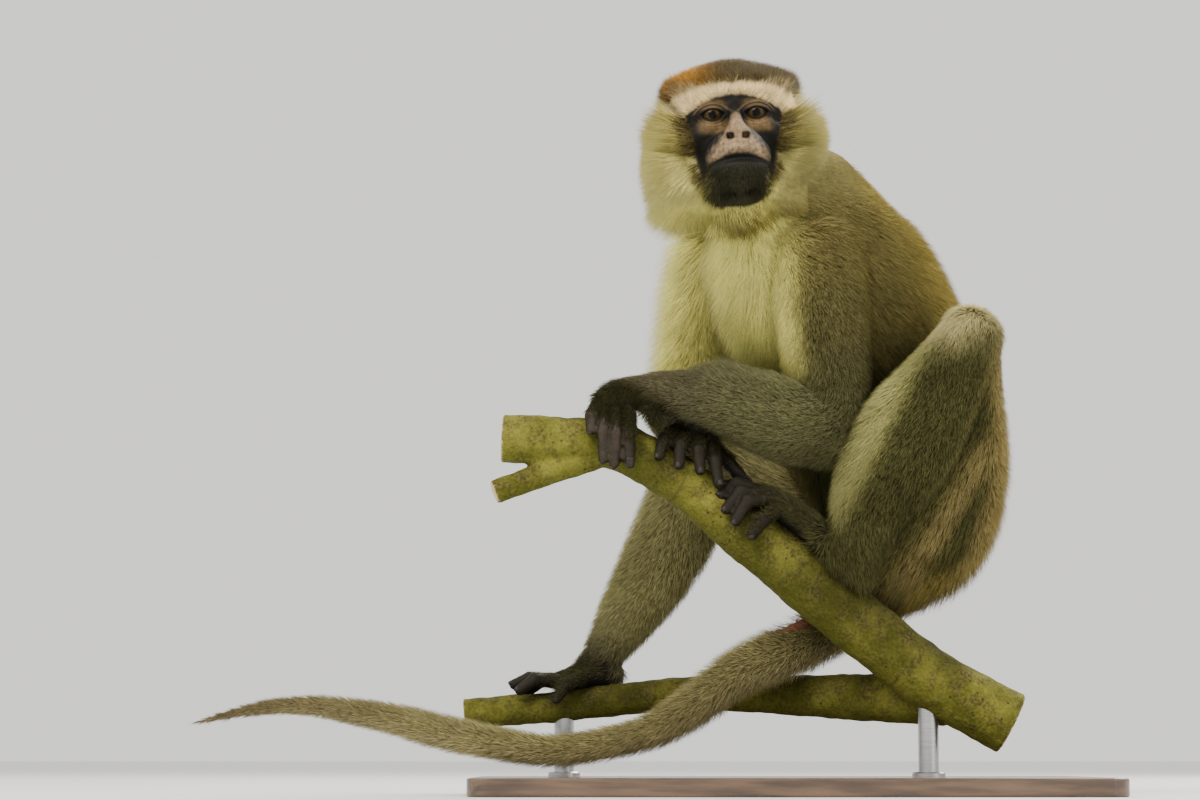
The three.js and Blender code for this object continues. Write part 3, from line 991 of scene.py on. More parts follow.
@dataclass(frozen=True)
class HeadPlan:
    """The head's place and its form, in its own frame.

    In that frame the eyes' middles are on the X axis, -Y is forward and +Z is up.

    Attributes:
        at: the midpoint between the eyes in the part's frame.
        pitch: degrees that the face is raised.
        roll: degrees that the crown leans to -X.
        eye_radius: the eyeball's half width.
        eye_spacing: from eye to eye.
        gaze_drop: degrees that the eyes look down from the head's own level.
    """

    at: Vec = (-35.0, -50.0, 456.0)
    pitch: float = 9.5
    roll: float = -3.3
    eye_radius: float = 9.3
    eye_spacing: float = 29.6
    gaze_drop: float = 15.0

    def turn(self) -> Array:
        """The turn from the head's frame to the part's.

        Returns:
            A 3 by 3 array.
        """
        roll = Matrix.Rotation(math.radians(self.roll), 3, "Y")
        pitch = Matrix.Rotation(math.radians(-self.pitch), 3, "X")
        return np.array(roll @ pitch)

    def to_world(self, points: Array) -> Array:
        """Points of the head's frame in the part's frame."""
        return points @ self.turn().T + np.array(self.at)

    def to_local(self, points: Array) -> Array:
        """Points of the part's frame in the head's frame."""
        return (points - np.array(self.at)) @ self.turn()

    def lids(self) -> list[EyeLids]:
        """The lids of the right eye and the left."""
        half = self.eye_spacing / 2
        return [EyeLids((side * half, 0.0, 0.0), drop=self.gaze_drop) for side in (-1, 1)]

    def lobes(self) -> list:
        """What the skin of the head is made of.

        Returns:
            Lobes and bars in the order in which they melt together.
        """
        half = self.eye_spacing / 2
        middle = [
            Lobe((0, 38, 10), (38, 42, 36), 1),
            Lobe((0, 62, -6), (29, 24, 28), 10),
            Lobe((0, 10, -8), (29.5, 17, 26), 7),
            Lobe((0, 24, -40), (24, 26, 20), 12),
            Lobe((0, 4, -28), (21, 22, 16), 7),
            Lobe((0, -10.5, -30), (18, 20.5, 13), 8),
        ]
        paired = [
            Lobe((20, 34, 19), (20, 30, 20), 6),
            Lobe((28, 28, 8), (13, 20, 15), 8),
            Lobe((36, 19, -20), (15, 10, 25), 8),
            Lobe((29, 20, -44), (15, 12, 15), 8),
            Lobe((27, 15, 6), (9, 16, 14), 6),
            Bar((5, -3.2, 12.0), (24, 3.5, 13.0), (5.2, 4.6), 4),
            Lobe((24, 5, -13), (9.5, 12, 8), 6),
            Lobe((16, -2.5, -10), (9.5, 7, 6), 4),
            Bar((20, 22, -34), (6, -3, -47), (12, 9.5), 8),
            Lobe((half, -0.4, -0.2), (11.4, 10.8, 10.6), 2.5),
            Bar((4.5, -20.5, -24), (12, -14.0, -36.5), (6.0, 8.0), 8),
        ]
        front = [
            Bar((0, -4.5, 4), (0, -26, -19.5), (3.4, 5.2), 4.5),
            Lobe((0, -29, -23.6), (6.2, 5.4, 4.4), 3.5),
            Lobe((0, -16.5, -35.5), (18, 17.2, 5.4), 9),
            Lobe((0, -15.0, -46.5), (18.5, 16.6, 6.6), 3),
            Lobe((0, -9.5, -51.5), (18, 14.0, 9.0), 8),
        ]
        wing = Lobe((5.8, -27.4, -24.6), (3.6, 4.6, 3.6), 2)
        sides = [both for part in paired for both in (part, part.mirrored())]
        return [*middle, *sides, *front, wing, wing.mirrored()]

    def hollows(self) -> list:
        """What is cut out of the skin of the head.

        Returns:
            The nostrils, the mouth and the furrow of the lip.
        """
        nostril = Lobe((5.2, -32.4, -26.8), (2.3, 4.2, 2.2), 0.6, 25.0)
        corner = ((22, -6, -44.8), (20.5, -14, -43.6), (15.5, -26, -42.0), (8, -33, -41.2), (0, -35.2, -41))
        mouth = smooth_line(np.array(corner), 2)
        parts = [nostril, nostril.mirrored()]
        for first, last in zip(mouth[:-1], mouth[1:]):
            groove = Bar(tuple(first), tuple(last), (0.55, 0.55), 0.9)
            parts += [groove, groove.mirrored()]
        parts.append(Bar((0, -35.5, -30), (0, -37, -37), (0.5, 0.5), 1.8))
        return parts

    def form(self) -> SoftForm:
        """The skin's form in the head's frame."""
        return SoftForm(self.lobes(), self.hollows())


HEAD = HeadPlan()


@dataclass(frozen=True)
class EarPlan:
    """A cupped round ear that stands out sideways from the head.

    Attributes:
        at: the ear's middle in the head's frame, on the animal's left.
        half_length: half the way from its root to its rim.
        half_height: half its height.
        wall: half its thickness.
        cup: how deep it is cupped.
        sweep: degrees that it is swept back.
    """

    at: Vec = (46.0, 36.0, -13.0)
    half_length: float = 14.0
    half_height: float = 15.5
    wall: float = 1.5
    cup: float = 5.0
    sweep: float = 28.0

    def mesh_points(self, side: int) -> Array:
        """Middles of the small balls that make the ear, in the head's frame.

        Args:
            side: 1 for the animal's left and -1 for its right.

        Returns:
            Rows of x, y, z and radius.
        """
        found = []
        c, s = math.cos(math.radians(self.sweep)), math.sin(math.radians(self.sweep))
        for u in np.linspace(-1.15, 1.0, 15):
            for v in np.linspace(-1.0, 1.0, 19):
                inside = (max(u, 0.0)) ** 2 + v * v
                if inside > 1.0:
                    continue
                rim = ramp(np.array([math.sqrt(inside)]), 0.8, 1.0)[0]
                depth = self.cup * (1.0 - inside) - 2.2 * rim
                out = u * self.half_length
                x = self.at[0] + out * c - depth * s * 0.4
                y = self.at[1] + out * s + depth
                z = self.at[2] + v * self.half_height * (1.0 if u > -0.6 else 0.8)
                found.append((side * x, y, z, self.wall + 0.5 * rim))
        return np.array(found)


EAR = EarPlan()


# ---- Hands and feet


@dataclass(frozen=True)
class Extremity:
    """A hand or foot: its palm or sole, then each digit from knuckle to tip.

    Attributes:
        region: the coat piece that covers its back.
        palm: rows of x, y, z and both half widths.
        side: the direction of the palm's second half width.
        digits: knuckle, middle and tip of each.
        radius: a digit's half width.
        away: a point inside what it grips, which the nails face away from.
        hair: how long the hair at its root is, against that on its digits.
        hair_start: how far along it its own hair starts.
    """

    region: Region
    palm: tuple[tuple[float, ...], ...]
    side: Vec
    digits: tuple[tuple[Vec, Vec, Vec], ...]
    radius: float
    away: Vec
    hair: float = 1.4
    hair_start: float = -0.02

    def palm_rows(self) -> Array:
        """The palm's rows, close together."""
        return smooth_line(np.array(self.palm, float), 5)

    def bars(self) -> list[Bar]:
        """The bones' lengths in the digits, thicker at the joints.

        Returns:
            Four bars a digit, from knuckle to tip.
        """
        parts = []
        widths = (1.08, 0.88, 0.98, 0.84, 0.78)
        softness = (2.5, 0.8, 0.8, 0.8)
        for knuckle, middle, tip in np.array(self.digits, float):
            stops = (knuckle, (knuckle + middle) / 2, middle, (middle + tip) / 2, tip)
            for i, soft in enumerate(softness):
                r = (self.radius * widths[i], self.radius * widths[i + 1])
                parts.append(Bar(tuple(stops[i]), tuple(stops[i + 1]), r, soft))
        return parts

    def balls(self) -> Array:
        """The balls that fill the digits.

        Returns:
            Rows of x, y, z and radius.
        """
        found = []
        for bar in self.bars():
            start, end = np.array(bar.start), np.array(bar.end)
            count = max(int(np.linalg.norm(end - start) / 1.6), 1)
            for share in np.arange(count + 1) / count:
                radius = bar.r[0] + (bar.r[1] - bar.r[0]) * share
                found.append((*(start + (end - start) * share), radius))
        return np.array(found)


LEFT_HAND = Extremity(
    Region.LEFT_ARM,
    ((-88, -50, 266, 13, 12), (-103, -50, 266, 11, 12), (-116, -54, 262, 9, 13)),
    (0.0, 1.0, 0.0),
    (
        ((-124, -56, 262), (-131, -64, 250), (-131, -65, 241)),
        ((-122, -58, 260), (-123, -67, 240), (-123, -64, 222)),
        ((-115, -59, 260), (-115, -68, 238), (-116, -63, 219)),
        ((-107, -58, 259), (-106, -67, 238), (-106, -63, 220)),
        ((-99, -54, 262), (-91, -60, 254), (-88, -61, 246)),
    ),
    4.6,
    (-112, -45, 231),
    hair=2.1,
)
RIGHT_HAND = Extremity(
    Region.RIGHT_ARM,
    ((-65, -14, 246, 11, 12), (-64, -30, 241, 15, 9), (-62, -42, 238, 16, 7)),
    (0.0, 0.0, 1.0),
    (
        ((-76, -42, 241), (-83, -55, 235), (-86, -62, 224)),
        ((-68, -44, 240), (-72, -58, 231), (-73, -64, 218)),
        ((-59, -44, 237), (-60, -57, 228), (-59, -65, 214)),
        ((-51, -41, 232), (-49, -55, 221), (-47, -64, 206)),
        ((-50, -34, 232), (-38, -38, 220), (-28, -42, 209)),
    ),
    4.6,
    (-60, -45, 200),
)
LEFT_FOOT = Extremity(
    Region.LEFT_LEG,
    (
        (47, -52, 150, 9, 10), (40, -52, 158, 12, 11), (20, -54, 172, 10, 12), (-2, -55, 188, 9, 13),
        (-14, -56, 196, 8, 12),
    ),
    (0.0, 1.0, 0.0),
    (
        ((-14, -46, 200), (-32, -38, 207), (-44, -42, 205)),
        ((-16, -52, 200), (-34, -52, 206), (-45, -60, 198)),
        ((-16, -57, 198), (-32, -62, 200), (-42, -68, 188)),
        ((-15, -61, 195), (-28, -69, 193), (-36, -71, 180)),
        ((-6, -62, 188), (-18, -70, 180), (-25, -71, 171)),
    ),
    4.8,
    (-30, -45, 176),
    hair=2.6,
    hair_start=0.16,
)
RIGHT_FOOT = Extremity(
    Region.RIGHT_LEG,
    ((-114, 46, 82, 7, 8), (-128, 45, 83, 11, 12), (-143, 42, 79, 8, 13), (-154, 41, 77, 6, 13)),
    (0.0, 1.0, 0.0),
    (
        ((-152, 52, 77), (-166, 55, 78), (-176, 54, 70)),
        ((-156, 46, 77), (-172, 46, 79), (-182, 44, 75)),
        ((-157, 39, 77), (-174, 37, 79), (-184, 35, 75)),
        ((-155, 33, 77), (-170, 27, 78), (-180, 24, 71)),
        ((-138, 31, 78), (-149, 22, 74), (-155, 19, 65)),
    ),
    4.8,
    (-165, 40, 55),
)
EXTREMITIES = (LEFT_HAND, RIGHT_HAND, LEFT_FOOT, RIGHT_FOOT)


# ---- Stems of the perch


@dataclass(frozen=True)
class Stem:
    """One stem of the perch.

    Attributes:
        stations: rows of x, y, z and half width.
        scars: how far apart its ring scars are.
    """

    stations: tuple[tuple[float, ...], ...]
    scars: float = 38.0

    def rows(self) -> Array:
        """The stem's rows, close together."""
        return smooth_line(np.array(self.stations, float), 6)


MAIN_STEM = Stem(
    (
        (-191, -45, 237, 16.5), (-152, -45, 235, 16.5), (-112, -45, 231, 16.5), (-69, -45, 207, 16.5),
        (-40, -45, 184, 18.5), (-7, -45, 158, 20), (25, -45, 131, 20.5), (58, -45, 104, 20.5),
        (90, -45, 79, 20.5), (126, -45, 58, 21), (147, -45, 47, 21.5),
    )
)
STUB_STEM = Stem(((-128, -46, 226, 10), (-165, -50, 212, 8.5), (-196, -54, 200, 8)))
LOWER_STEM = Stem(
    (
        (-219, 40, 55, 10), (-153, 40, 60, 10.5), (-98, 38, 66, 11), (-58, 35, 69, 12),
        (-11, 27, 68, 13), (35, 9, 66, 15), (73, -13, 65, 17), (104, -36, 64, 18),
    )
)


# ---- Markings


def tone(*channels: int) -> Colour:
    """The linear colour of red, green and blue given from 0 to 255."""
    return tuple((c / 255 + 0.055) ** 2.4 / 1.055**2.4 if c > 10 else c / 255 / 12.92 for c in channels)


class Hue(Enum):
    """The colours of the coat and the bare skin."""

    CREAM = tone(255, 249, 150)
    THROAT = tone(248, 240, 137)
    RUFF = tone(196, 184, 106)
    RUFF_PALE = tone(226, 219, 140)
    NAPE = tone(140, 124, 57)
    BROW = tone(231, 206, 152)
    CROWN = tone(79, 68, 39)
    GOLD = tone(202, 146, 58)
    TEMPLE = tone(57, 50, 30)
    OLIVE = tone(133, 124, 75)
    BACK = tone(160, 144, 72)
    RUFOUS = tone(141, 124, 60)
    ARM = tone(99, 99, 67)
    WRIST = tone(91, 86, 64)
    LEG = tone(90, 90, 53)
    STRIPE = tone(186, 183, 117)
    GREY_SHIN = tone(158, 154, 104)
    INNER_LEG = tone(200, 190, 136)
    FRINGE = tone(166, 151, 98)
    TAIL = tone(142, 134, 90)
    TAIL_BELOW = tone(165, 155, 111)
    TAIL_TIP = tone(105, 91, 64)
    HAND_HAIR = tone(56, 55, 31)
    BLACK = tone(15, 14, 10)
    CHARCOAL = tone(30, 29, 23)
    CHIN = tone(62, 60, 44)
    LID = tone(112, 91, 60)
    LID_EDGE = tone(112, 92, 64)
    UPPER_LID = tone(88, 71, 45)
    NOSE = tone(138, 116, 89)
    MUZZLE = tone(138, 118, 92)
    HAND_SKIN = tone(33, 29, 20)
    FINGER = tone(60, 53, 44)
    SOLE = tone(26, 23, 19)
    EAR = tone(44, 39, 32)
    ROSY = tone(176, 92, 80)


@dataclass
class CoatField:
    """What the coat and the skin are like at each point of the skin.

    Attributes:
        lie: the way the hair runs.
        depth: how far its tips stand off the skin.
        length: how long it is.
        density: how thickly it grows, against its neighbours in the same piece.
        hue: its colour.
        grizzle: how strongly its hairs are banded, 0 to 1.
        skin: the colour of the skin.
        region: the number of the coat piece.
        width: a tuft's width at the root.
    """

    lie: Array
    depth: Array
    length: Array
    density: Array
    hue: Array
    grizzle: Array
    skin: Array
    region: Array
    width: Array

    def turn(self, share: Array, **values: object) -> None:
        """Brings some of its values towards others.

        Args:
            share: how far at each point, 0 to 1.
            **values: what the values of these names turn to.
        """
        for name, value in values.items():
            now = getattr(self, name)
            part = share[:, None] if now.ndim == 2 else share
            mixed = now * (1.0 - part) + plain(value) * part
            setattr(self, name, unit(mixed) if name == "lie" else mixed)

    def thin(self, share: Array) -> None:
        """Lets the coat grow less thickly, by a share at each point."""
        self.density = self.density * (1.0 - share)


class LineReader:
    """Reads the nearest place on a line of the body."""

    def __init__(self, line: Line) -> None:
        """Works out the rows, directions and length of a line.

        Args:
            line: the line.
        """
        self.rows = line.rows()
        self.way = line.tangents()
        side = np.array(line.side) - self.way * (self.way @ np.array(line.side))[:, None]
        self.second = unit(side)
        self.first = np.cross(self.second, self.way)
        gaps = np.linalg.norm(np.diff(self.rows[:, :3], axis=0), axis=1)
        self.length = gaps.sum()
        self.travel = np.concatenate([[0.0], np.cumsum(gaps)]) / self.length

    def nearest(self, points: Array) -> tuple[Array, Array]:
        """The nearest row to each point.

        Args:
            points: rows of x, y and z.

        Returns:
            The row numbers, and how far outside the skin there each point is.
        """
        rows, depths = np.empty(len(points), int), np.empty(len(points))
        at, widths = self.rows[:, :3], self.rows[:, 3:5]
        for part in batches(len(points)):
            offset = points[part][:, None, :] - at[None]
            first = np.einsum("nmk,mk->nm", offset, self.first)
            second = np.einsum("nmk,mk->nm", offset, self.second)
            scaled = np.hypot(first / widths[:, 0], second / widths[:, 1])
            edge = np.hypot(first, second) / np.maximum(scaled, 1e-6)
            edge = np.where(scaled < 1e-4, widths.min(1), edge)
            depth = np.linalg.norm(offset, axis=2) - edge
            rows[part] = depth.argmin(1)
            depths[part] = depth.min(1)
        return rows, depths

    def round_and_along(self, points: Array) -> tuple[Array, Array, Array]:
        """Where points lie about the line.

        Args:
            points: rows of x, y and z.

        Returns:
            How far round the line each is and how far along it, from 0 to 1, and how far outside.
        """
        rows, outside = self.nearest(points)
        offset = points - self.rows[rows, :3]
        first, second, step = (
            (offset * axis[rows]).sum(1) for axis in (self.first, self.second, self.way)
        )
        along = self.travel[rows] + step / self.length
        return np.arctan2(second, first) / (2 * math.pi) + 0.5, along, outside


@dataclass
class Markings:
    """Works out the coat's lie, depth and colours over the whole skin.

    Attributes:
        points: rows of x, y and z on the skin.
        normals: the skin's outward directions there.
        reach: how far the coat of one line runs into the next one's.
        belly_way: the way the belly faces.
        tufts: a tuft's width on the body, on the head, on the chin, and on the tail and right leg.
        domes: middles of places where the coat is combed, the way it is combed, how far from there
            that starts and is complete, and how much shorter the coat is there.
        knee: the middle of the left knee's cap.
        heel: the middle of the left heel.
        rosy: the middle of the bare skin under the tail's root.
        heel_hair: length and depth of the hair on the left heel.
        chin_hair: length of the hair at the chin's top and how much longer it is below.
    """

    points: Array
    normals: Array
    reach: float = 5.0
    belly_way: Vec = (-0.79, -0.62, 0.0)
    tufts: tuple[float, ...] = (0.74, 0.5, 0.4, 0.55)
    domes: tuple[tuple[Vec, Vec, float, float, float], ...] = (
        ((20.0, -22.0, 388.0), (0.62, -0.25, -0.74), 62.0, 34.0, 0.0),
        ((45.0, 30.0, 424.0), (0.72, 0.25, -0.65), 62.0, 34.0, 0.45),
    )
    knee: Vec = (122.0, -66.0, 308.0)
    heel: Vec = (50.0, -62.0, 156.0)
    rosy: Vec = (4.0, 2.0, 122.0)
    heel_hair: tuple[float, float] = (17.0, 5.0)
    chin_hair: tuple[float, float] = (3.0, 5.0)

    def __post_init__(self) -> None:
        """Places the points in the head's frame, and tells the head from the rest."""
        self.local = HEAD.to_local(self.points)
        x, y, z = self.local.T
        self.wide = np.abs(x)
        self.height = 0.961 * z - 0.276 * y
        past = (y - 40.0) * 0.5 - (z + 32.0) * 0.85
        self.on_head = ramp(past, 20.0, 4.0) * (np.linalg.norm(self.local, axis=1) < 118.0)

    def read(self) -> CoatField:
        """Writes all the markings, the later over the earlier.

        Returns:
            The coat's field.
        """
        self.coat = self.lines_coat()
        self.comb()
        self.add_head()
        self.add_extremities()
        bare = self.near(self.rosy, 22.0, 12.0)
        self.coat.turn(bare, skin=Hue.ROSY)
        self.coat.thin(0.8 * bare)
        self.add_knee()
        self.add_thigh_band()
        self.add_shoulder()
        self.add_heel()
        patches = 0.1 * ripple(self.points, 46.0) + 0.07 * ripple(self.points, 17.0, 2.0)
        self.coat.hue = self.coat.hue * (1.0 + patches)[:, None]
        return self.coat

    def near(self, middle: Vec, far: float, close: float) -> Array:
        """1 closer to a middle than close, and 0 beyond far."""
        return ramp(np.linalg.norm(self.points - np.array(middle), axis=1), far, close)

    def rising(self, start: float, end: float) -> Array:
        """A smooth step over the points' height in the part's frame."""
        return ramp(self.points[:, 2], start, end)

    def facing(self, *way: float) -> Array:
        """How squarely the skin faces a way, from -1 to 1."""
        return self.normals @ unit(np.array(way))

    def off_line(self, low: tuple[float, float], high: tuple[float, float]) -> Array:
        """How far the points are from a line between two places in x and z, + to its upper left."""
        start, (run, rise) = np.array(low), np.array(high) - np.array(low)
        return (self.points[:, [0, 2]] - start) @ unit(np.array((-rise, run)))

    def code(self, region: Region) -> int:
        """The number of a coat piece."""
        return tuple(Region).index(region)

    def lines_coat(self) -> CoatField:
        """The coat of all the lines, each running a little into the next.

        Returns:
            The coat's field, without the head's and the limbs' own markings.
        """
        count = len(self.points)
        total, best, region = np.zeros(count), np.full(count, 1e9), np.zeros(count, int)
        sums = np.zeros((count, 9))
        for line in LINES:
            reader = LineReader(line)
            rows, outside = reader.nearest(self.points)
            weight = np.exp(-np.clip(outside, -20.0, 80.0) / self.reach)
            share = reader.travel[rows]
            colour, grizzle = self.line_colour(line, share)
            start, end = line.hair
            way = reader.way[rows]
            if line.hang is not None:
                way = np.tile(unit(np.array(line.hang)), (count, 1))
            length = start + (end - start) * share
            values = [way, reader.rows[rows, 5], length, grizzle, colour]
            total += weight
            sums += np.column_stack(values) * weight[:, None]
            region = np.where(outside < best, self.line_region(line, share), region)
            best = np.minimum(outside, best)
        depth, length, grizzle = (sums[:, i] / total for i in (3, 4, 5))
        hue = sums[:, 6:] / total[:, None]
        return CoatField(
            lie=unit(sums[:, :3]),
            depth=depth,
            length=length,
            density=1.0 + 0.45 * np.clip(-self.normals[:, 1] + 0.2, -0.8, 0.8),
            hue=hue,
            grizzle=grizzle,
            skin=hue * 0.5,
            region=region,
            width=np.full(count, self.tufts[0]),
        )

    def line_region(self, line: Line, share: Array) -> Array:
        """The coat piece at each point near a line.

        Args:
            line: the line.
            share: how far along the line each point is.

        Returns:
            The pieces' numbers.
        """
        codes = np.full(len(share), self.code(line.region))
        if line in (TRUNK, NECK):
            ventral = self.normals @ np.array(self.belly_way) > 0.1
            codes = np.where(ventral, self.code(Region.CHEST), codes)
        if line is TRUNK:
            codes = np.where(share > 0.52, self.code(Region.RUMP), codes)
        return codes

    def line_colour(self, line: Line, share: Array) -> tuple[Array, Array]:
        """The coat's colour and banding near a line.

        Args:
            line: the line.
            share: how far along the line each point is.

        Returns:
            The colours and how strongly they are banded.
        """
        points, normals, ones = self.points, self.normals, np.ones(len(share))
        if line in (TRUNK, NECK):
            dorsal = -(normals @ np.array(self.belly_way))
            hue = blend(Hue.OLIVE, Hue.BACK, ramp(dorsal, -0.2, 0.5))
            hue = blend(hue, Hue.RUFOUS, ramp(dorsal, 0.45, 0.95) * self.rising(220.0, 290.0))
            low = ramp(share, 0.5, 0.9) if line is TRUNK else 0.0 * ones
            hue = blend(hue, Hue.FRINGE, low * ramp(dorsal, 0.1, 0.7))
            pale = ramp(-dorsal + 0.07 * ripple(points, 26.0), 0.62, 0.92)
            # Painted shade: below the chest the pale belly turns to the legs' dark hue, where it lies in
            # shadow between the arms and legs.
            belly = blend(Hue.LEG, Hue.CREAM, self.rising(250.0, 285.0))
            return blend(hue, belly, pale), 0.8 * (1.0 - pale) + 0.12 * pale
        if line in (LEFT_UPPER_ARM, RIGHT_UPPER_ARM):
            hue = blend(Hue.OLIVE, Hue.ARM, share)
            if line is LEFT_UPPER_ARM:
                inner = self.facing(-0.95, -0.3, 0.0) + 0.05 * ripple(points, 12.0)
                pale = 0.85 * ramp(inner, 0.6, 1.0) * self.rising(262.0, 290.0)
                return blend(hue, Hue.CREAM, pale), 0.95 - 0.75 * pale
            pale = ramp(0.12 * ripple(points, 9.0) - normals[:, 1], -0.55, 0.1)
            pale *= ramp(normals[:, 2], 0.85, 0.3)
            return blend(hue, Hue.CREAM, pale), 0.95 - 0.85 * pale
        if line in (LEFT_FOREARM, RIGHT_FOREARM):
            return blend(Hue.ARM, Hue.WRIST, ramp(share, 0.25, 1.0)), 1.0 - 0.4 * share
        if line is LEFT_SHIN:
            off = self.off_line((30.0, 172.0), (101.0, 317.0)) + 1.5 * ripple(points, 10.0)
            pale = ramp(off, -9.0, 4.0) * ramp(off, 25.0, 8.0) * ramp(share, 1.05, 0.75)
            pale *= ramp(normals[:, 1], 0.3, -0.1)
            hue = blend(Hue.LEG, Hue.WRIST, ramp(share, 0.78, 1.0))
            return blend(hue, Hue.STRIPE, pale), 0.95 - 0.7 * pale
        if line is LEFT_THIGH:
            top = self.rising(296.0, 322.0)
            hue = blend(Hue.LEG, Hue.FRINGE, ramp(self.facing(0.9, 0.4, -0.1), 0.3, 0.8))
            return blend(hue, Hue.INNER_LEG, top), 0.95 - 0.3 * top
        if line is RIGHT_THIGH:
            inner = ramp(self.facing(-0.2, -0.9, -0.2), 0.0, 0.6)
            return blend(Hue.LEG, Hue.INNER_LEG, inner * 0.35), 0.9 - 0.3 * inner
        if line is RIGHT_SHIN:
            hue = blend(Hue.LEG, Hue.GREY_SHIN, ramp(self.facing(-0.3, -0.95, 0.0), -0.7, 0.1))
            return blend(hue, Hue.WRIST, ramp(share, 0.75, 1.0)), 0.6 * ones
        hue = blend(Hue.TAIL, Hue.TAIL_BELOW, ramp(normals[:, 2], 0.0, -0.7))
        return blend(hue, Hue.TAIL_TIP, ramp(share, 0.6, 1.0) * 0.7), 0.5 * ones

    def comb(self) -> None:
        """Turns the lie of the coat where the lines end in domes, and shortens it at the nape."""
        for middle, way, far, close, cut in self.domes:
            self.coat.turn(self.near(middle, far, close), lie=unit(np.array(way)))
            kept = 1.0 - cut * self.near(middle, 0.7 * far, 0.4 * far)
            self.coat.length = self.coat.length * kept
            self.coat.depth = self.coat.depth * kept

    def face_width(self) -> Array:
        """How wide the bare face is at the points' heights.

        Returns:
            Half its width at each.
        """
        heights = (-66.0, -62.0, -56.0, -48.0, -38.0, -28.0, -18.0, -8.0, 2.0, 8.0, 14.0)
        widths = (0.5, 9.0, 16.0, 22.5, 25.5, 27.0, 28.5, 31.0, 33.5, 31.0, 24.0)
        return np.interp(self.height, heights, widths)

    def add_head(self) -> None:
        """Writes the head: crown, brow band, temples, ruff, throat, chin, ears and bare face."""
        coat, on_head, wide, height = self.coat, self.on_head, self.wide, self.height
        x, y, z = self.local.T
        front = ramp(y, 34.0, 20.0)
        ragged = 1.2 * ripple(self.points, 5.0)
        from_edge = wide - self.face_width()
        above_eyes = height - (14.0 - (x / 30.0) ** 2 * 10.5)
        above_band = height + 0.5 * ragged - (18.5 - (x / 30.0) ** 2 * 5.5)
        bare = ramp(from_edge + 0.6 * ragged, 2.5, -2.5) * ramp(y, 26.0, 16.0)
        bare *= ramp(above_eyes + 0.4 * ragged, 1.6, -1.6) * on_head
        band = ramp(above_eyes, -4.5, -2.5) * ramp(above_band, 2.5, -1.5) * front * ramp(wide, 50.0, 42.0)
        crown = ramp(above_band, -1.5, 2.5)
        above_cheek = height - 0.9 * (wide - 32.0) - 8.0 * ramp(x, 20.0, 32.0)
        cheek = ramp(above_cheek, 3.0, -3.0) * ramp(from_edge, -1.0, 2.0)
        temple = np.exp(-((above_cheek / 3.0) ** 2)) * ramp(wide, 29.0, 36.0) * front
        gold = np.exp(-(((x + 29.0) / 13.0) ** 2) - ((height - 27.0) / 10.0) ** 2) * front
        beyond = ramp(height + 26.0 + (62.0 - x) * 1.05 + 3.0 * ripple(self.points, 14.0), 36.0, 5.0)
        shaded = ramp(x, 20.0, 27.0) * ramp(x, 62.0, 44.0) * ramp(height, -42.0, -25.0)
        throat = ramp(z, -40.0, -58.0) * ramp(y, 52.0, 30.0) * (1.0 - 0.9 * beyond * ramp(x, 14.0, 30.0))
        ruff = blend(Hue.RUFF, Hue.RUFF_PALE, ramp(height, -14.0, -46.0))
        ruff = blend(ruff, Hue.NAPE, ramp(y, 44.0, 70.0) * ramp(z, -50.0, -20.0))
        ruff = blend(ruff, Hue.OLIVE, 0.85 * beyond * ramp(x, 14.0, 26.0))
        ruff = ruff * (1.0 - 0.35 * shaded)[:, None]
        hue = blend(Hue.CROWN, Hue.NAPE, ramp(y, 30.0, 75.0))
        layers = (
            (Hue.GOLD, np.clip(gold * 1.2, 0, 1) * crown),
            (ruff, cheek),
            (Hue.THROAT, throat),
            (Hue.BROW, band),
            (Hue.TEMPLE, temple * 0.85),
        )
        for layer, share in layers:
            hue = blend(hue, layer, share)
        grizzle = 0.85 - (0.5 + 0.25 * ramp(height, 0.0, -25.0)) * cheek
        flow = self.head_flow()
        reach = self.head_reach(flow)
        length = np.where(cheek > 0.5, reach, np.minimum(reach, 13.0 + 6.0 * ramp(wide, 26.0, 38.0)))
        length = np.where(band > 0.5, 8.0, length)
        grizzle = grizzle * (1.0 - 0.75 * band)
        lie = flow @ HEAD.turn().T
        coat.turn(on_head, lie=lie, depth=0.16 * length, length=length, hue=hue, grizzle=grizzle)
        chin = self.add_chin(bare)
        ear = self.ear_share() * on_head
        coat.thin(0.93 * ear)
        coat.turn(ear, length=6.0, depth=2.0)
        coat.turn(on_head, skin=coat.hue * 0.5)
        coat.turn(bare, skin=self.face_colour())
        coat.turn(ear, skin=Hue.EAR)
        is_head = on_head > 0.5
        codes = np.where(x > 0, self.code(Region.LEFT_RUFF), self.code(Region.RIGHT_RUFF))
        is_crown = (crown + band > 0.5) | (y > 50.0) & (z > -20.0)
        codes = np.where(is_crown, self.code(Region.CROWN), codes)
        coat.region = np.where(is_head, codes, coat.region)
        _, head_width, chin_width, thin_width = self.tufts
        coat.width = np.where(is_head, np.where(chin, chin_width, head_width), coat.width)
        thin = np.isin(coat.region, [self.code(Region.TAIL), self.code(Region.RIGHT_LEG)])
        coat.width = np.where(thin, thin_width, coat.width)
        coat.density = np.where(is_head, coat.density * (1.0 + 0.8 * ramp(y, 40.0, 5.0)), coat.density)

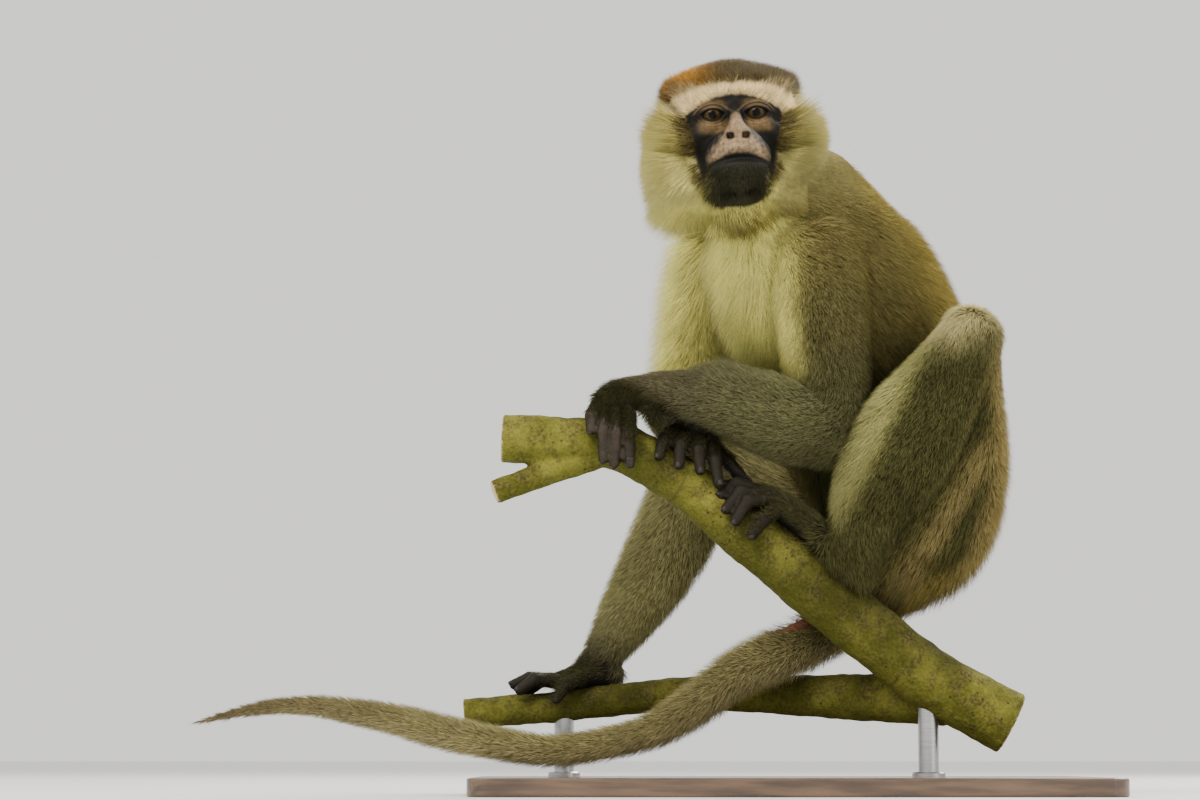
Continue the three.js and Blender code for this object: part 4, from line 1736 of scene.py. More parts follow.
    def add_chin(self, bare: Array) -> Array:
        """Writes the dark beard of the chin, the dark fringe beside it and the throat's length.

        Args:
            bare: how bare the skin of the face is.

        Returns:
            True on the chin.
        """
        coat, on_head, wide, height = self.coat, self.on_head, self.wide, self.height
        y, z = self.local[:, 1], self.local[:, 2]
        stray = 4.0 * ripple(self.local, 3.3)
        chin_way = ramp(wide + stray, 23.0, 17.0) * ramp(y + stray, 15.0, 8.0) * on_head
        beard = ramp(height, -33.5, -44.0) * chin_way
        fringe = ramp(wide + stray, 24.0, 18.0) * ramp(y + stray, 20.0, 11.0) * on_head
        fringe = ramp(height, -30.0, -34.0) * ramp(height, -56.0, -48.0) * fringe
        dark = ramp(height, -32.0, -35.0) * chin_way
        chin = dark > 0.5
        coat.turn(np.maximum(dark, fringe), hue=Hue.CHIN)
        coat.thin(np.maximum(bare, beard))
        coat.density = coat.density + 0.8 * beard
        below = ramp(height, -40.0, -56.0)
        start, more = self.chin_hair
        coat.length = np.where(chin, start + more * below, coat.length)
        coat.length = np.where((fringe > 0.5) & ~chin, 4.5, coat.length)
        throat = ramp(wide, 42.0, 26.0) * ramp(z, -34.0, -48.0) * ramp(y, 60.0, 40.0) * on_head
        coat.length = coat.length * np.where(chin, 1.0, 1.0 - 0.5 * throat)
        coat.depth = np.where(chin, 1.0 + 1.2 * below, coat.depth)
        coat.grizzle = np.where(chin, 0.45, coat.grizzle)
        down = unit(np.array((0.0, -0.35, -0.95))) @ HEAD.turn().T
        coat.lie = np.where(chin[:, None], down, coat.lie)
        return chin

    def head_flow(self) -> Array:
        """The way the hair points on the head.

        Returns:
            Rows of length one in the head's frame.
        """
        x, y, z = self.local.T
        none = np.zeros_like(x)
        fan_heights = (-62.0, -45.0, -30.0, -15.0, 0.0, 10.0, 20.0)
        fan = np.radians(np.interp(z, fan_heights, (-82.0, -56.0, -24.0, 4.0, 38.0, 56.0, 68.0)))
        radial = np.stack([np.clip(x / 12.0, -1.0, 1.0) * np.cos(fan), none, np.sin(fan)], 1)
        flow = radial + np.stack([none, 0.15 + 0.5 * ramp(y, -6.0, 50.0), none], 1)
        crown = unit(np.stack([x * 0.024, 0.45 + 0.5 * ramp(y, 5.0, 40.0), 0.95 - y * 0.014], 1))
        flow = unit(blend(unit(flow), crown, ramp(z - 0.3 * self.wide, 6.0, 14.0)))
        throat = unit(np.stack([x * 0.03, none + 0.12, none - 1.0], 1))
        flow = blend(flow, throat, ramp(z, -30.0, -54.0))
        return unit(blend(flow, np.array((0.0, 0.55, -0.83)), ramp(y, 52.0, 82.0)))

    def head_reach(self, flow: Array) -> Array:
        """How long the hair can be before it leaves the head's outline.

        Args:
            flow: the way it points, in the head's frame.

        Returns:
            One length a point.
        """
        crown = [Lobe((0, 33, 13), (60, 46, 40), 1), Lobe((0, 29, 3), (65, 50, 44), 8)]
        cheeks = [Lobe((34, 29, -16), (31, 46, 29), 8), Lobe((10, 27, -40), (24, 44, 32), 8)]
        outline = SoftForm([*crown, *cheeks, Lobe((-37, 29, -34), (29, 46, 38), 10)])
        step, longest = 4.0, 36.0
        reach = np.full(len(flow), 2.0)
        going = np.ones(len(flow), bool)
        for distance in np.arange(step, longest, step):
            going &= outline.distance(self.local + flow * distance) < 0.0
            reach = np.where(going, distance + step / 2, reach)
        return np.clip(reach, 6.0, longest)

    def ear_share(self) -> Array:
        """Tells the ears from the rest of the head.

        Returns:
            1 on the ears and 0 elsewhere.
        """
        near = np.full(len(self.local), 1e9)
        for side in (-1, 1):
            balls = EAR.mesh_points(side)
            close = np.abs(self.local[:, 0] - side * EAR.at[0]) < 24.0
            gap = np.linalg.norm(self.local[close][:, None] - balls[None, :, :3], axis=2) - balls[:, 3]
            near[close] = np.minimum(near[close], gap.min(1))
        return ramp(near, 2.2, 1.0) * ramp(self.wide, 37.0, 40.0)

    def face_colour(self) -> Array:
        """The bare face's colours: dark, with a pale nose and muzzle and brown lids, painted shade in the
        nostrils, the mouth's seam and the upper lids' folds, and a tan line above each fold that is partly
        a painted highlight.

        Returns:
            One colour a row.
        """
        local, height, wide, y = self.local, self.height, self.wide, self.local[:, 1]
        hue = np.tile(plain(Hue.BLACK), (len(wide), 1))
        mottle = 1.0 + 0.35 * ripple(local, 4.2) + 0.25 * ripple(local, 1.9, 1.0)
        mouth = height + 30.0 + 0.0145 * wide**2
        half = np.interp(height, (-36, -30, -25, -20, -15, -10), (20.5, 21.0, 18.0, 14.0, 9.5, 5.5))
        muzzle = ramp(wide - half - 1.5 * ripple(local, 6.0), 3.0, -6.0) * ramp(height, -5.0, -10.0)
        muzzle *= ramp(y, -4.0, -12.0) * ramp(mouth, -0.5, 2.5)
        half = np.interp(height, (-22, -14, -6, 0), (10.0, 8.0, 4.0, 1.8))
        nose = ramp(wide - half, 1.8, -1.8) * ramp(height, 2.0, -3.0) * ramp(height, -26.0, -17.0)
        nose_hue = plain(Hue.NOSE) * (0.3 + 0.7 * mottle)[:, None]
        lip = ramp(mouth, 0.5, -1.5) * ramp(y, 2.0, -5.0) * ramp(wide, 24.0, 20.0)
        stubble = ramp(mouth + 1.2 * ripple(local, 3.1), 6.0, 0.5) * ramp(mouth, 0.0, 0.5)
        layers = [
            (plain(Hue.MUZZLE) * mottle[:, None], muzzle * 0.95),
            (nose_hue, nose),
            (Hue.CHARCOAL, lip),
            (Hue.BLACK, stubble * ramp(wide, 17.0, 6.0) * 0.7),
            # Painted shade: a thin black line along the seam between the lips.
            (Hue.BLACK, np.exp(-((mouth / 1.1) ** 2)) * ramp(wide, 24.0, 21.0)),
        ]
        lid_hue = plain(Hue.LID) * (0.5 + 0.5 * mottle)[:, None]
        for lids in HEAD.lids():
            ax, ay, az = lids.local(local).T
            almond, ahead = lids.almond(ax, az), ramp(ay, 4.0, 0.0)
            bag = np.exp(-((ax / 9.5) ** 4) - ((az + 8.0) / 5.0) ** 4)
            hood = np.exp(-((ax / 9.0) ** 4) - ((az - 6.5) / 3.8) ** 4)
            # Painted shade: a black line lies in the crease of the upper lid's fold, where the skin is
            # pressed in.
            fold = np.exp(-(((almond - 2.9) / 0.5) ** 2)) * ramp(az, -1.0, 1.0)
            # A tan line just above the fold: partly pale lid skin, partly a painted highlight on the fold's
            # edge.
            arc = np.exp(-(((almond - 4.0) / 0.7) ** 2)) * ramp(az, 0.0, 2.5)
            layers += [
                (lid_hue, bag * ahead * 0.95),
                (Hue.UPPER_LID, hood * ahead * 0.9),
                (Hue.BLACK, fold * ahead * 0.8),
                (Hue.LID_EDGE, arc * ahead * 0.45),
                (Hue.BLACK, ramp(almond, 0.8, 0.3) * ahead * 0.8),
            ]
        # Painted shade: the nostrils' hollows are painted black.
        nostril = np.exp(-(((wide - 5.2) / 2.6) ** 4) - ((height + 16.6) / 2.2) ** 4)
        layers.append((Hue.BLACK, np.clip(nostril * 1.5, 0, 1) * ramp(y, -18.0, -23.0)))
        for layer, share in layers:
            hue = blend(hue, layer, share)
        return hue

    def add_extremities(self) -> None:
        """Writes the hands and feet: short dark hair on their backs, and dark bare skin."""
        coat, points = self.coat, self.points
        wood = np.vstack([stem.rows()[:, :3] for stem in (MAIN_STEM, LOWER_STEM)])
        near_wood = np.zeros(len(points), int)
        for part in batches(len(points)):
            near_wood[part] = np.linalg.norm(points[part][:, None] - wood[None], axis=2).argmin(1)
        dorsal = ramp((self.normals * unit(points - wood[near_wood])).sum(1), -0.15, 0.35)
        for limb in EXTREMITIES:
            palm = limb.palm_rows()[:, :3]
            knuckles, middles, tips = (np.array(joint, float) for joint in zip(*limb.digits))
            way = unit(tips.mean(0) - palm[0])
            start, end = palm[0] @ way, tips.mean(0) @ way
            travel = (points @ way - start) / (end - start)
            cloud = np.vstack([palm, knuckles, tips, middles])
            near = np.full(len(points), 1e9)
            close = np.linalg.norm(points - palm.mean(0), axis=1) < 90.0
            near[close] = np.linalg.norm(points[close][:, None] - cloud[None], axis=2).min(1)
            own = ramp(near, 20.0, 13.0) * ramp(travel, limb.hair_start, limb.hair_start + 0.16)
            ahead = unit(tips.mean(0)[None] - points)
            fade = 1.0 - np.clip(travel, 0, 1)
            skin = blend(Hue.SOLE, Hue.HAND_SKIN, dorsal)
            if limb is LEFT_HAND:
                # The fingers' fronts near their tips are paler where they face forwards: partly paler skin,
                # partly a painted highlight.
                pale = ramp(travel, 0.35, 0.6) * ramp(self.normals[:, 1], -0.3, -0.9)
                skin = blend(skin, Hue.FINGER, pale * ramp(points[:, 0], -98.0, -112.0) * 0.85)
            coat.turn(
                own,
                lie=ahead * 0.3 + way * 0.7,
                length=4.0 + 4.0 * limb.hair * fade,
                depth=0.8 + 1.2 * limb.hair * fade,
                hue=Hue.HAND_HAIR,
                grizzle=0.7,
                width=0.6,
                density=dorsal * ramp(travel, 0.95, 0.55) * 2.2,
                skin=skin,
            )
            coat.region = np.where(own > 0.5, self.code(limb.region), coat.region)

    def add_heel(self) -> None:
        """Long hair of the left leg falls over the heel and onto the branch."""
        near = self.near(self.heel, 40.0, 22.0)
        length, depth = self.heel_hair
        way = unit(np.array((0.1, -0.5, -0.86)))
        self.coat.turn(near, lie=way, length=length, depth=depth, hue=Hue.LEG, density=2.0)
        self.coat.region = np.where(near > 0.5, self.code(Region.LEFT_LEG), self.coat.region)

    def add_shoulder(self) -> None:
        """Longer, softer hair down the outside of the right upper arm and in its armpit."""
        side = ramp(-self.normals[:, 0], 0.1, 0.8) * ramp(self.points[:, 0], -25.0, -45.0)
        long = side * self.rising(262.0, 290.0) * self.rising(418.0, 400.0)
        gap = np.linalg.norm(self.points[:, [0, 2]] - np.array((-37.0, 291.0)), axis=1)
        armpit = ramp(gap, 24.0, 12.0)
        self.coat.depth = self.coat.depth + (9.0 * long + 5.0 * armpit)
        self.coat.length = self.coat.length + (10.0 * long + 7.0 * armpit)

    def add_thigh_band(self) -> None:
        """A soft pale band runs down the left thigh, behind the shin."""
        off = self.off_line((84.0, 150.0), (130.0, 226.0)) + 2.0 * ripple(self.points, 9.0)
        band = ramp(np.abs(off), 12.0, 3.0) * ramp(self.normals[:, 1], 0.3, -0.1)
        band *= self.rising(136.0, 156.0) * self.rising(256.0, 226.0)
        band *= ramp(self.points[:, 0], 58.0, 78.0)
        self.coat.turn(0.85 * band, hue=Hue.FRINGE)
        self.coat.grizzle = self.coat.grizzle * (1.0 - 0.4 * band)

    def add_knee(self) -> None:
        """Short pale hair on the left knee lies forwards over it; where the knee faces up and to the
        animal's right it is painted paler as a lit rim.
        """
        coat = self.coat
        gap = np.linalg.norm(self.points - np.array(self.knee), axis=1)
        coat.turn(ramp(gap, 75.0, 35.0), lie=unit(np.array((-0.25, -0.42, -0.87))))
        cap = ramp(gap + 5.0 * ripple(self.points, 16.0), 44.0, 20.0) * self.rising(286.0, 312.0)
        # Painted light: three quarters of the pale cap comes only where the knee faces up and to the
        # animal's right, as a backlit rim; the rest is the hair's own pale colour.
        cap *= 0.25 + 0.75 * ramp(self.normals[:, 2] - 0.4 * self.normals[:, 0], -0.1, 0.6)
        coat.turn(cap, hue=Hue.INNER_LEG)
        coat.grizzle = coat.grizzle * (1.0 - 0.8 * cap)
        coat.length = coat.length * (1.0 - 0.2 * cap)
        coat.depth = coat.depth * (1.0 - 0.35 * ramp(gap, 60.0, 30.0))
        coat.density = coat.density * (1.0 + 0.6 * ramp(gap, 50.0, 30.0))


# ---- Skin


@dataclass
class SkinData:
    """The finished skin as plain numbers: a row for each point, and one for each triangle."""

    points: Array
    normals: Array
    triangles: Array
    coat: CoatField


@dataclass
class Skin:
    """One skin over the whole animal, which stands for every node of flesh.

    Attributes:
        voxel: the size of its faces before the fine parts are divided.
        rounds: how often it is evened.
        kept: the share of its faces that is kept under the coat.
        steps: how many steps the fine parts take to their own forms.
    """

    voxel: float = 2.5
    rounds: int = 9
    kept: float = 0.24
    steps: int = 3
    name: str = "monkey_skin"

    def flesh_nodes(self) -> list[str]:
        """The CAD nodes that the skin stands for."""
        kept = ("perch_", "stand_", "eye_")
        return [n for n in sorted(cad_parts) if not n.startswith(kept)]

    def ball(self, fine: int) -> tuple[Array, Array]:
        """A ball of radius one.

        Args:
            fine: how often its faces are divided.

        Returns:
            Its points and triangles.
        """
        shape = bmesh.new()
        bmesh.ops.create_icosphere(shape, subdivisions=fine, radius=1.0)
        shape.verts.index_update()
        points = np.array([v.co[:] for v in shape.verts])
        triangles = np.array([[v.index for v in face.verts] for face in shape.faces])
        shape.free()
        return points, triangles

    def body_balls(self) -> list[tuple[int, Array, Array]]:
        """The balls that fill the body just inside its coat.

        Returns:
            For each, how finely it is divided, its middle, and its three half widths as rows.
        """
        coarse, middling, fine = 1, 2, 3
        found = []
        for line in LINES:
            reader = LineReader(line)
            for row, way, first, second in zip(reader.rows, reader.way, reader.first, reader.second):
                depth = 0.75 * min(row[3], row[4])
                found.append((fine, row[:3], np.array([first * row[3], second * row[4], way * depth])))
        for part in HEAD.lobes():
            if isinstance(part, Lobe):
                axes = tilt(part.tilt).T @ HEAD.turn().T * np.array(part.r)[:, None]
                found.append((fine, HEAD.to_world(np.array([part.at]))[0], axes))
            else:
                for share in np.linspace(0, 1, 9):
                    place = np.array(part.start) * (1 - share) + np.array(part.end) * share
                    radius = part.r[0] * (1 - share) + part.r[1] * share
                    found.append((middling, HEAD.to_world(place[None])[0], np.eye(3) * radius))
        for side in (-1, 1):
            for ball in EAR.mesh_points(side):
                found.append((coarse, HEAD.to_world(ball[None, :3])[0], np.eye(3) * ball[3]))
        for limb in EXTREMITIES:
            rows = limb.palm_rows()
            for row, way in zip(rows, unit(np.gradient(rows[:, :3], axis=0))):
                second = unit(np.array(limb.side) - way * (way @ np.array(limb.side)))
                first = np.cross(second, way)
                depth = 0.8 * min(row[3], row[4])
                found.append((fine, row[:3], np.array([first * row[3], second * row[4], way * depth])))
            for ball in limb.balls():
                found.append((middling, ball[:3], np.eye(3) * ball[3]))
        return found

    def rough_body(self) -> Object:
        """Gathers all the balls in one object.

        Returns:
            The object.
        """
        kinds = {fine: self.ball(fine) for fine in (1, 2, 3)}
        points, triangles, count = [], [], 0
        for fine, middle, axes in self.body_balls():
            ball_points, ball_triangles = kinds[fine]
            points.append(ball_points @ axes + middle)
            triangles.append(ball_triangles + count)
            count += len(ball_points)
        return object_from_arrays("rough_body", np.vstack(points), np.vstack(triangles))

    def thinned(self, mesh: Mesh) -> Mesh:
        """Gives the skin larger faces where the coat hides it.

        Args:
            mesh: the skin, which is removed.

        Returns:
            The new mesh.
        """
        detail, _, _ = self.fine_share(points_of(mesh))
        hidden = np.flatnonzero(~detail)
        holder = add_object("rough_skin", mesh)
        holder.vertex_groups.new(name="plain").add(hidden.tolist(), 1.0, "REPLACE")
        fewer = holder.modifiers.new("fewer", "DECIMATE")
        fewer.vertex_group = "plain"
        fewer.ratio = (len(mesh.vertices) - len(hidden) * (1.0 - self.kept)) / len(mesh.vertices)
        return applied(holder)

    def divide(self, shape: BMesh, chosen: Array) -> None:
        """Divides the faces whose points are all chosen.

        Args:
            shape: the mesh to change.
            chosen: True for each chosen point.
        """
        edges = [e for e in shape.edges if chosen[e.verts[0].index] and chosen[e.verts[1].index]]
        bmesh.ops.subdivide_edges(shape, edges=edges, cuts=1, use_grid_fill=True)
        shape.verts.index_update()

    def coords(self, shape: BMesh) -> Array:
        """The points of a bmesh in metres, as millimetres."""
        return np.array([v.co[:] for v in shape.verts]) / METRES

    def fine_share(self, points: Array) -> tuple[Array, Array, Array]:
        """Where the skin is divided.

        Args:
            points: rows of x, y and z.

        Returns:
            True for points of the face, hands and feet; of the face; and round the eyes.
        """
        local = HEAD.to_local(points)
        x, y, z = local.T
        face = (y < 16.0) & (np.abs(x) < 37.0) & (z > -64.0) & (z < 24.0)
        eyes = np.zeros(len(points), bool)
        for side in (-1, 1):
            centre = np.array((side * HEAD.eye_spacing / 2, -3.0, -1.0))
            eyes |= np.linalg.norm(local - centre, axis=1) < 12.5
        digits = np.zeros(len(points), bool)
        for limb in EXTREMITIES:
            cloud = np.vstack([limb.balls()[:, :3], limb.palm_rows()[2:, :3]])
            close = np.linalg.norm(points - cloud.mean(0), axis=1) < 75.0
            gap = np.linalg.norm(points[close][:, None] - cloud[None], axis=2).min(1)
            digits[close] |= gap < 13.5
        return face | digits, face & (y < 6.0), eyes & (y < 3.0)

    def build(self) -> Object:
        """Makes the skin, without its colours.

        Returns:
            Its object.
        """
        mesh = remeshed(self.rough_body(), self.voxel)
        move_points(mesh, evened(mesh, self.rounds))
        mesh = self.thinned(mesh)
        shape = bmesh.new()
        shape.from_mesh(mesh)
        bpy.data.meshes.remove(mesh)
        for level in range(2):
            self.divide(shape, self.fine_share(self.coords(shape))[level])
        self.settle(shape)
        self.divide(shape, self.fine_share(self.coords(shape))[2])
        self.settle(shape, True)
        bmesh.ops.triangulate(shape, faces=shape.faces[:])
        bmesh.ops.recalc_face_normals(shape, faces=shape.faces[:])
        skin = bpy.data.meshes.new(self.name)
        shape.to_mesh(skin)
        shape.free()
        return add_object(self.name, skin)

    def settle(self, shape: BMesh, finished: bool = False) -> None:
        """Draws the head, hands and feet onto their own forms.

        Args:
            shape: the mesh to change.
            finished: whether the lids are opened too.
        """
        points = self.coords(shape)
        local = HEAD.to_local(points)
        x, y, z = local.T
        past = (y - 34.0) * 0.5 - (z + 30.0) * 0.85
        share = ramp(past, 14.0, 4.0) * ramp(y, 46.0, 26.0)
        share *= ramp(np.linalg.norm(local, axis=1), 90.0, 70.0)
        share *= 1.0 - ramp(np.abs(x), 33.0, 37.0) * ramp(y, 10.0, 16.0)
        chosen = share > 0.001
        local[chosen] = HEAD.form().settle(local[chosen], share[chosen], self.steps)
        if finished:
            for lids in HEAD.lids():
                local[chosen] = lids.shape(local[chosen])
        points[chosen] = HEAD.to_world(local[chosen])
        for limb in EXTREMITIES:
            form = SoftForm(limb.bars())
            close = np.linalg.norm(points - np.array(limb.away), axis=1) < 80.0
            knuckles, _, tips = (np.array(joint, float).mean(0) for joint in zip(*limb.digits))
            gone = (points[close] - knuckles) @ unit(tips - knuckles)
            near = ramp(form.distance(points[close]), 4.5, 2.0) * ramp(gone, -2.0, 6.0)
            points[close] = form.settle(points[close], near, self.steps)
        for vert, place in zip(shape.verts, points * METRES):
            vert.co = place

    def dress(self, made: Object) -> SkinData:
        """Colours the skin and joins it to the frame.

        Args:
            made: the skin's object.

        Returns:
            The skin's numbers, for the coat.
        """
        mesh = made.data
        points, normals = points_of(mesh), normals_of(mesh)
        coat = Markings(points, normals).read()
        write_colours(mesh, "marking", np.column_stack([coat.skin, np.ones(len(points))]))
        mesh.materials.clear()
        mesh.materials.append(SkinFinish().material())
        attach(made, BODY)
        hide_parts(*self.flesh_nodes())
        triangles = read_rows(mesh.loops, "vertex_index", np.int32, 1).reshape(-1, 3)
        return SkinData(points, normals, triangles, coat)


# ---- Coat


@dataclass(frozen=True)
class CoatPiece:
    """Tufts of hair rooted in one region of the skin, each a slender three-sided spike.

    Attributes:
        region: which region.
        count: how many tufts.
        gather: how far its tip is drawn towards its lock.
        lock: the distance from lock to lock.
        stray: degrees that it strays from the lie of the coat.
        root_shade: the brightness of its root against its tip.
        sunk: how far its root is under the skin.
        patch: the width of its patch on the bake map.
    """

    region: Region
    count: int
    gather: float = 2.0
    lock: float = 9.0
    stray: float = 9.0
    root_shade: float = 0.45
    sunk: float = 0.8
    patch: float = 0.003

    def choose(self, skin: SkinData, rng: np.random.Generator) -> tuple[Array, Array]:
        """Picks where the tufts are rooted.

        Args:
            skin: the skin.
            rng: the source of chance.

        Returns:
            The point numbers of each root's triangle, and its weight in each.
        """
        code = tuple(Region).index(self.region)
        own = skin.triangles[skin.coat.region[skin.triangles[:, 0]] == code]
        a, b, c = (skin.points[own[:, i]] for i in range(3))
        area = np.linalg.norm(np.cross(b - a, c - a), axis=1)
        area *= skin.coat.density[own].mean(1)
        total = np.cumsum(area)
        picked = own[np.searchsorted(total, rng.random(self.count) * total[-1])]
        first, second = np.sqrt(rng.random(self.count)), rng.random(self.count)
        return picked, np.stack([1.0 - first, first * (1.0 - second), first * second], 1)

    def build(self, skin: SkinData, rng: np.random.Generator) -> Object:
        """Makes the piece.

        Args:
            skin: the skin.
            rng: the source of chance.

        Returns:
            The piece's object.
        """
        picked, weights = self.choose(skin, rng)

        def read(values: Array) -> Array:
            """A value of the skin at each root."""
            part = values[picked]
            return (part * (weights if part.ndim == 2 else weights[..., None])).sum(1)

        coat = skin.coat
        root, normal = read(skin.points), unit(read(skin.normals))
        lie = read(coat.lie)
        way = unit(lie - normal * (lie * normal).sum(1)[:, None])
        turn = np.radians(rng.normal(0.0, self.stray, self.count))
        way = way * np.cos(turn)[:, None] + np.cross(normal, way) * np.sin(turn)[:, None]
        length = read(coat.length) * rng.uniform(0.72, 1.12, self.count)
        rise = read(coat.depth) * rng.uniform(0.75, 1.3, self.count)
        stands = np.clip((unit(lie) * normal).sum(1), 0.0, 1.0)
        rise = np.minimum(np.maximum(rise, stands * length), length * 0.98)
        run = np.sqrt(length**2 - rise**2)
        tip = root + way * run[:, None] + normal * rise[:, None]
        pull = self.lock_slope(root) * self.gather
        pull *= np.clip(length / 16.0, 0.2, 1.0)[:, None]
        tip -= pull - normal * (pull * normal).sum(1)[:, None]
        width = read(coat.width) * rng.uniform(0.8, 1.2, self.count)
        base = root - normal * self.sunk
        side = np.cross(normal, way) * (width / 2)[:, None]
        ridge = normal * (width / 2)[:, None]
        points = np.stack([base + side, base + ridge, base - side, tip], 1)
        made = object_from_arrays(self.region.value, points.reshape(-1, 3), self.faces())
        self.map_patches(made.data, root)
        chance = rng.random(self.count)
        shade = 0.5 * rng.random(self.count) + 0.25 + 0.25 * ripple(root, self.lock * 0.8, 1.0)
        tuft = np.ones((self.count, 4, 4))
        tuft[..., 0] = (0.0, 0.0, 0.0, 1.0)
        tuft[..., 1], tuft[..., 2] = chance[:, None], shade[:, None]
        marking = np.column_stack([read(coat.hue), read(coat.grizzle)])
        write_colours(made.data, "marking", np.repeat(marking, 4, 0))
        write_colours(made.data, "tuft", tuft.reshape(-1, 4))
        made.data.materials.append(CoatFinish(self.region.value + "_hair", self.root_shade).material())
        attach(made, BODY)
        return made

    def lock_slope(self, points: Array) -> Array:
        """Which way the tips are drawn, and how strongly.

        Args:
            points: where the tufts are rooted.

        Returns:
            One way a row.
        """
        reach = 0.2
        here = ripple(points, self.lock, 0.5)
        slope = np.empty_like(points)
        for axis in range(3):
            moved = points.copy()
            moved[:, axis] += reach
            slope[:, axis] = (ripple(moved, self.lock, 0.5) - here) / reach
        return slope * (self.lock / (2 * math.pi))

    def faces(self) -> Array:
        """The triangles of all tufts: for each, one that closes its root and three sides."""
        one = np.array([(0, 2, 1), (0, 1, 3), (1, 2, 3), (2, 0, 3)])
        return (np.arange(self.count)[:, None, None] * 4 + one[None]).reshape(-1, 3)

    def unwrap(self, root: Array) -> Array:
        """Lays the tufts out on the bake map.

        Args:
            root: where each tuft is rooted.

        Returns:
            Each one's place, from 0 to 1 both ways.
        """
        if self.region in (Region.CROWN, Region.LEFT_RUFF, Region.RIGHT_RUFF):
            offset = HEAD.to_local(root) - np.array((0.0, 30.0, -10.0))
            reach = np.arccos(np.clip(-unit(offset)[:, 1], -1, 1)) / math.pi
            angle = np.arctan2(offset[:, 2], offset[:, 0])
            flat = np.stack([reach * np.cos(angle), reach * np.sin(angle)], 1)
        else:
            row = 1.25
            flat, nearest = np.empty((len(root), 2)), np.full(len(root), 1e9)
            lines = [line for line in LINES if line.region is self.region] or [TRUNK]
            for number, line in enumerate(lines):
                turn, along, outside = LineReader(line).round_and_along(root)
                closer = outside < nearest
                nearest = np.where(closer, outside, nearest)
                flat[closer] = np.stack([turn, along + number * row], 1)[closer]
        low, high = flat.min(0), flat.max(0)
        edge = 2.5 * self.patch
        return edge + (flat - low) / (high - low) * (1.0 - 2 * edge)

    def map_patches(self, mesh: Mesh, root: Array) -> None:
        """Writes the bake map: a small star for each tuft, with its tip in the middle.

        Args:
            mesh: the piece's mesh.
            root: where each tuft is rooted.
        """
        angles = np.array([0.0, 2.0, 4.0]) * math.pi / 3
        star = np.stack([np.cos(angles), np.sin(angles)], 1)
        local = np.concatenate([star * (self.patch / 2), np.zeros((1, 2))])
        shape = local[self.faces()[:4].ravel()]
        shape[:3] = local[0] + star[[0, 2, 1]] * self.patch * 0.12
        places = self.unwrap(root)[:, None, :] + shape[None]
        layer = mesh.uv_layers.new(name="OFBake")
        layer.data.foreach_set("uv", places.astype(np.float32).ravel())


COAT = (
    CoatPiece(Region.CROWN, 44000, gather=0.8, lock=6.0, stray=13.0, root_shade=0.55),
    CoatPiece(Region.LEFT_RUFF, 37000, gather=0.6, lock=6.0, root_shade=0.72),
    CoatPiece(Region.RIGHT_RUFF, 37000, gather=0.6, lock=6.0, root_shade=0.72),
    CoatPiece(Region.CHEST, 34000, gather=2.0, lock=11.0, root_shade=0.75),
    CoatPiece(Region.BACK, 38000, gather=2.4, lock=9.0),
    CoatPiece(Region.RUMP, 22000, gather=2.6, lock=9.0),
    CoatPiece(Region.LEFT_ARM, 45000, gather=1.2, lock=6.0),
    CoatPiece(Region.RIGHT_ARM, 22000, gather=1.0, lock=7.0, root_shade=0.8),
    CoatPiece(Region.LEFT_LEG, 45000, gather=1.2, lock=6.0, root_shade=0.52),
    CoatPiece(Region.RIGHT_LEG, 26000, gather=0.8, lock=6.0, root_shade=0.75),
    CoatPiece(Region.TAIL, 24000, gather=0.8, lock=6.0, root_shade=0.75),
)


# ---- Eyes and nails


@dataclass
class Eye:
    """An eyeball whose clear front stands out a little.

    Attributes:
        node: the CAD node that it stands for.
        side: 1 for the animal's left and -1 for its right.
        front: how far the clear front stands out.
        reach: the clear front's edge, as an angle from the line of sight.
    """

    node: str
    side: int
    front: float = 1.0
    reach: float = 0.72

    def build(self) -> Object:
        """Makes the eye.

        Returns:
            Its object.
        """
        drop = math.radians(HEAD.gaze_drop)
        local = np.array((0.0, -math.cos(drop), -math.sin(drop)))
        gaze = unit(local @ HEAD.turn().T)
        at = HEAD.to_world(np.array([[self.side * HEAD.eye_spacing / 2, 0.0, 0.0]]))[0]
        turn = Vector(gaze).to_track_quat("Z", "Y").to_matrix().to_4x4()
        shape = bmesh.new()
        bmesh.ops.create_uvsphere(shape, u_segments=64, v_segments=56, radius=HEAD.eye_radius, matrix=turn)
        angles = []
        for vert in shape.verts:
            angle = vert.co.angle(Vector(gaze))
            bulge = max(0.0, math.cos(angle / self.reach * math.pi / 2)) if angle < self.reach else 0.0
            vert.co *= 1.0 + self.front / HEAD.eye_radius * bulge**1.3
            vert.co += Vector(at)
            angles.append(angle)
        made = object_from_bmesh(self.node.replace("eye", "eyeball"), shape)
        attribute = made.data.attributes.new("gaze", "FLOAT", "POINT")
        attribute.data.foreach_set("value", angles)
        made.data.materials.append(EyeFinish().material())
        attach(made, BODY)
        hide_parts(self.node)
        return made


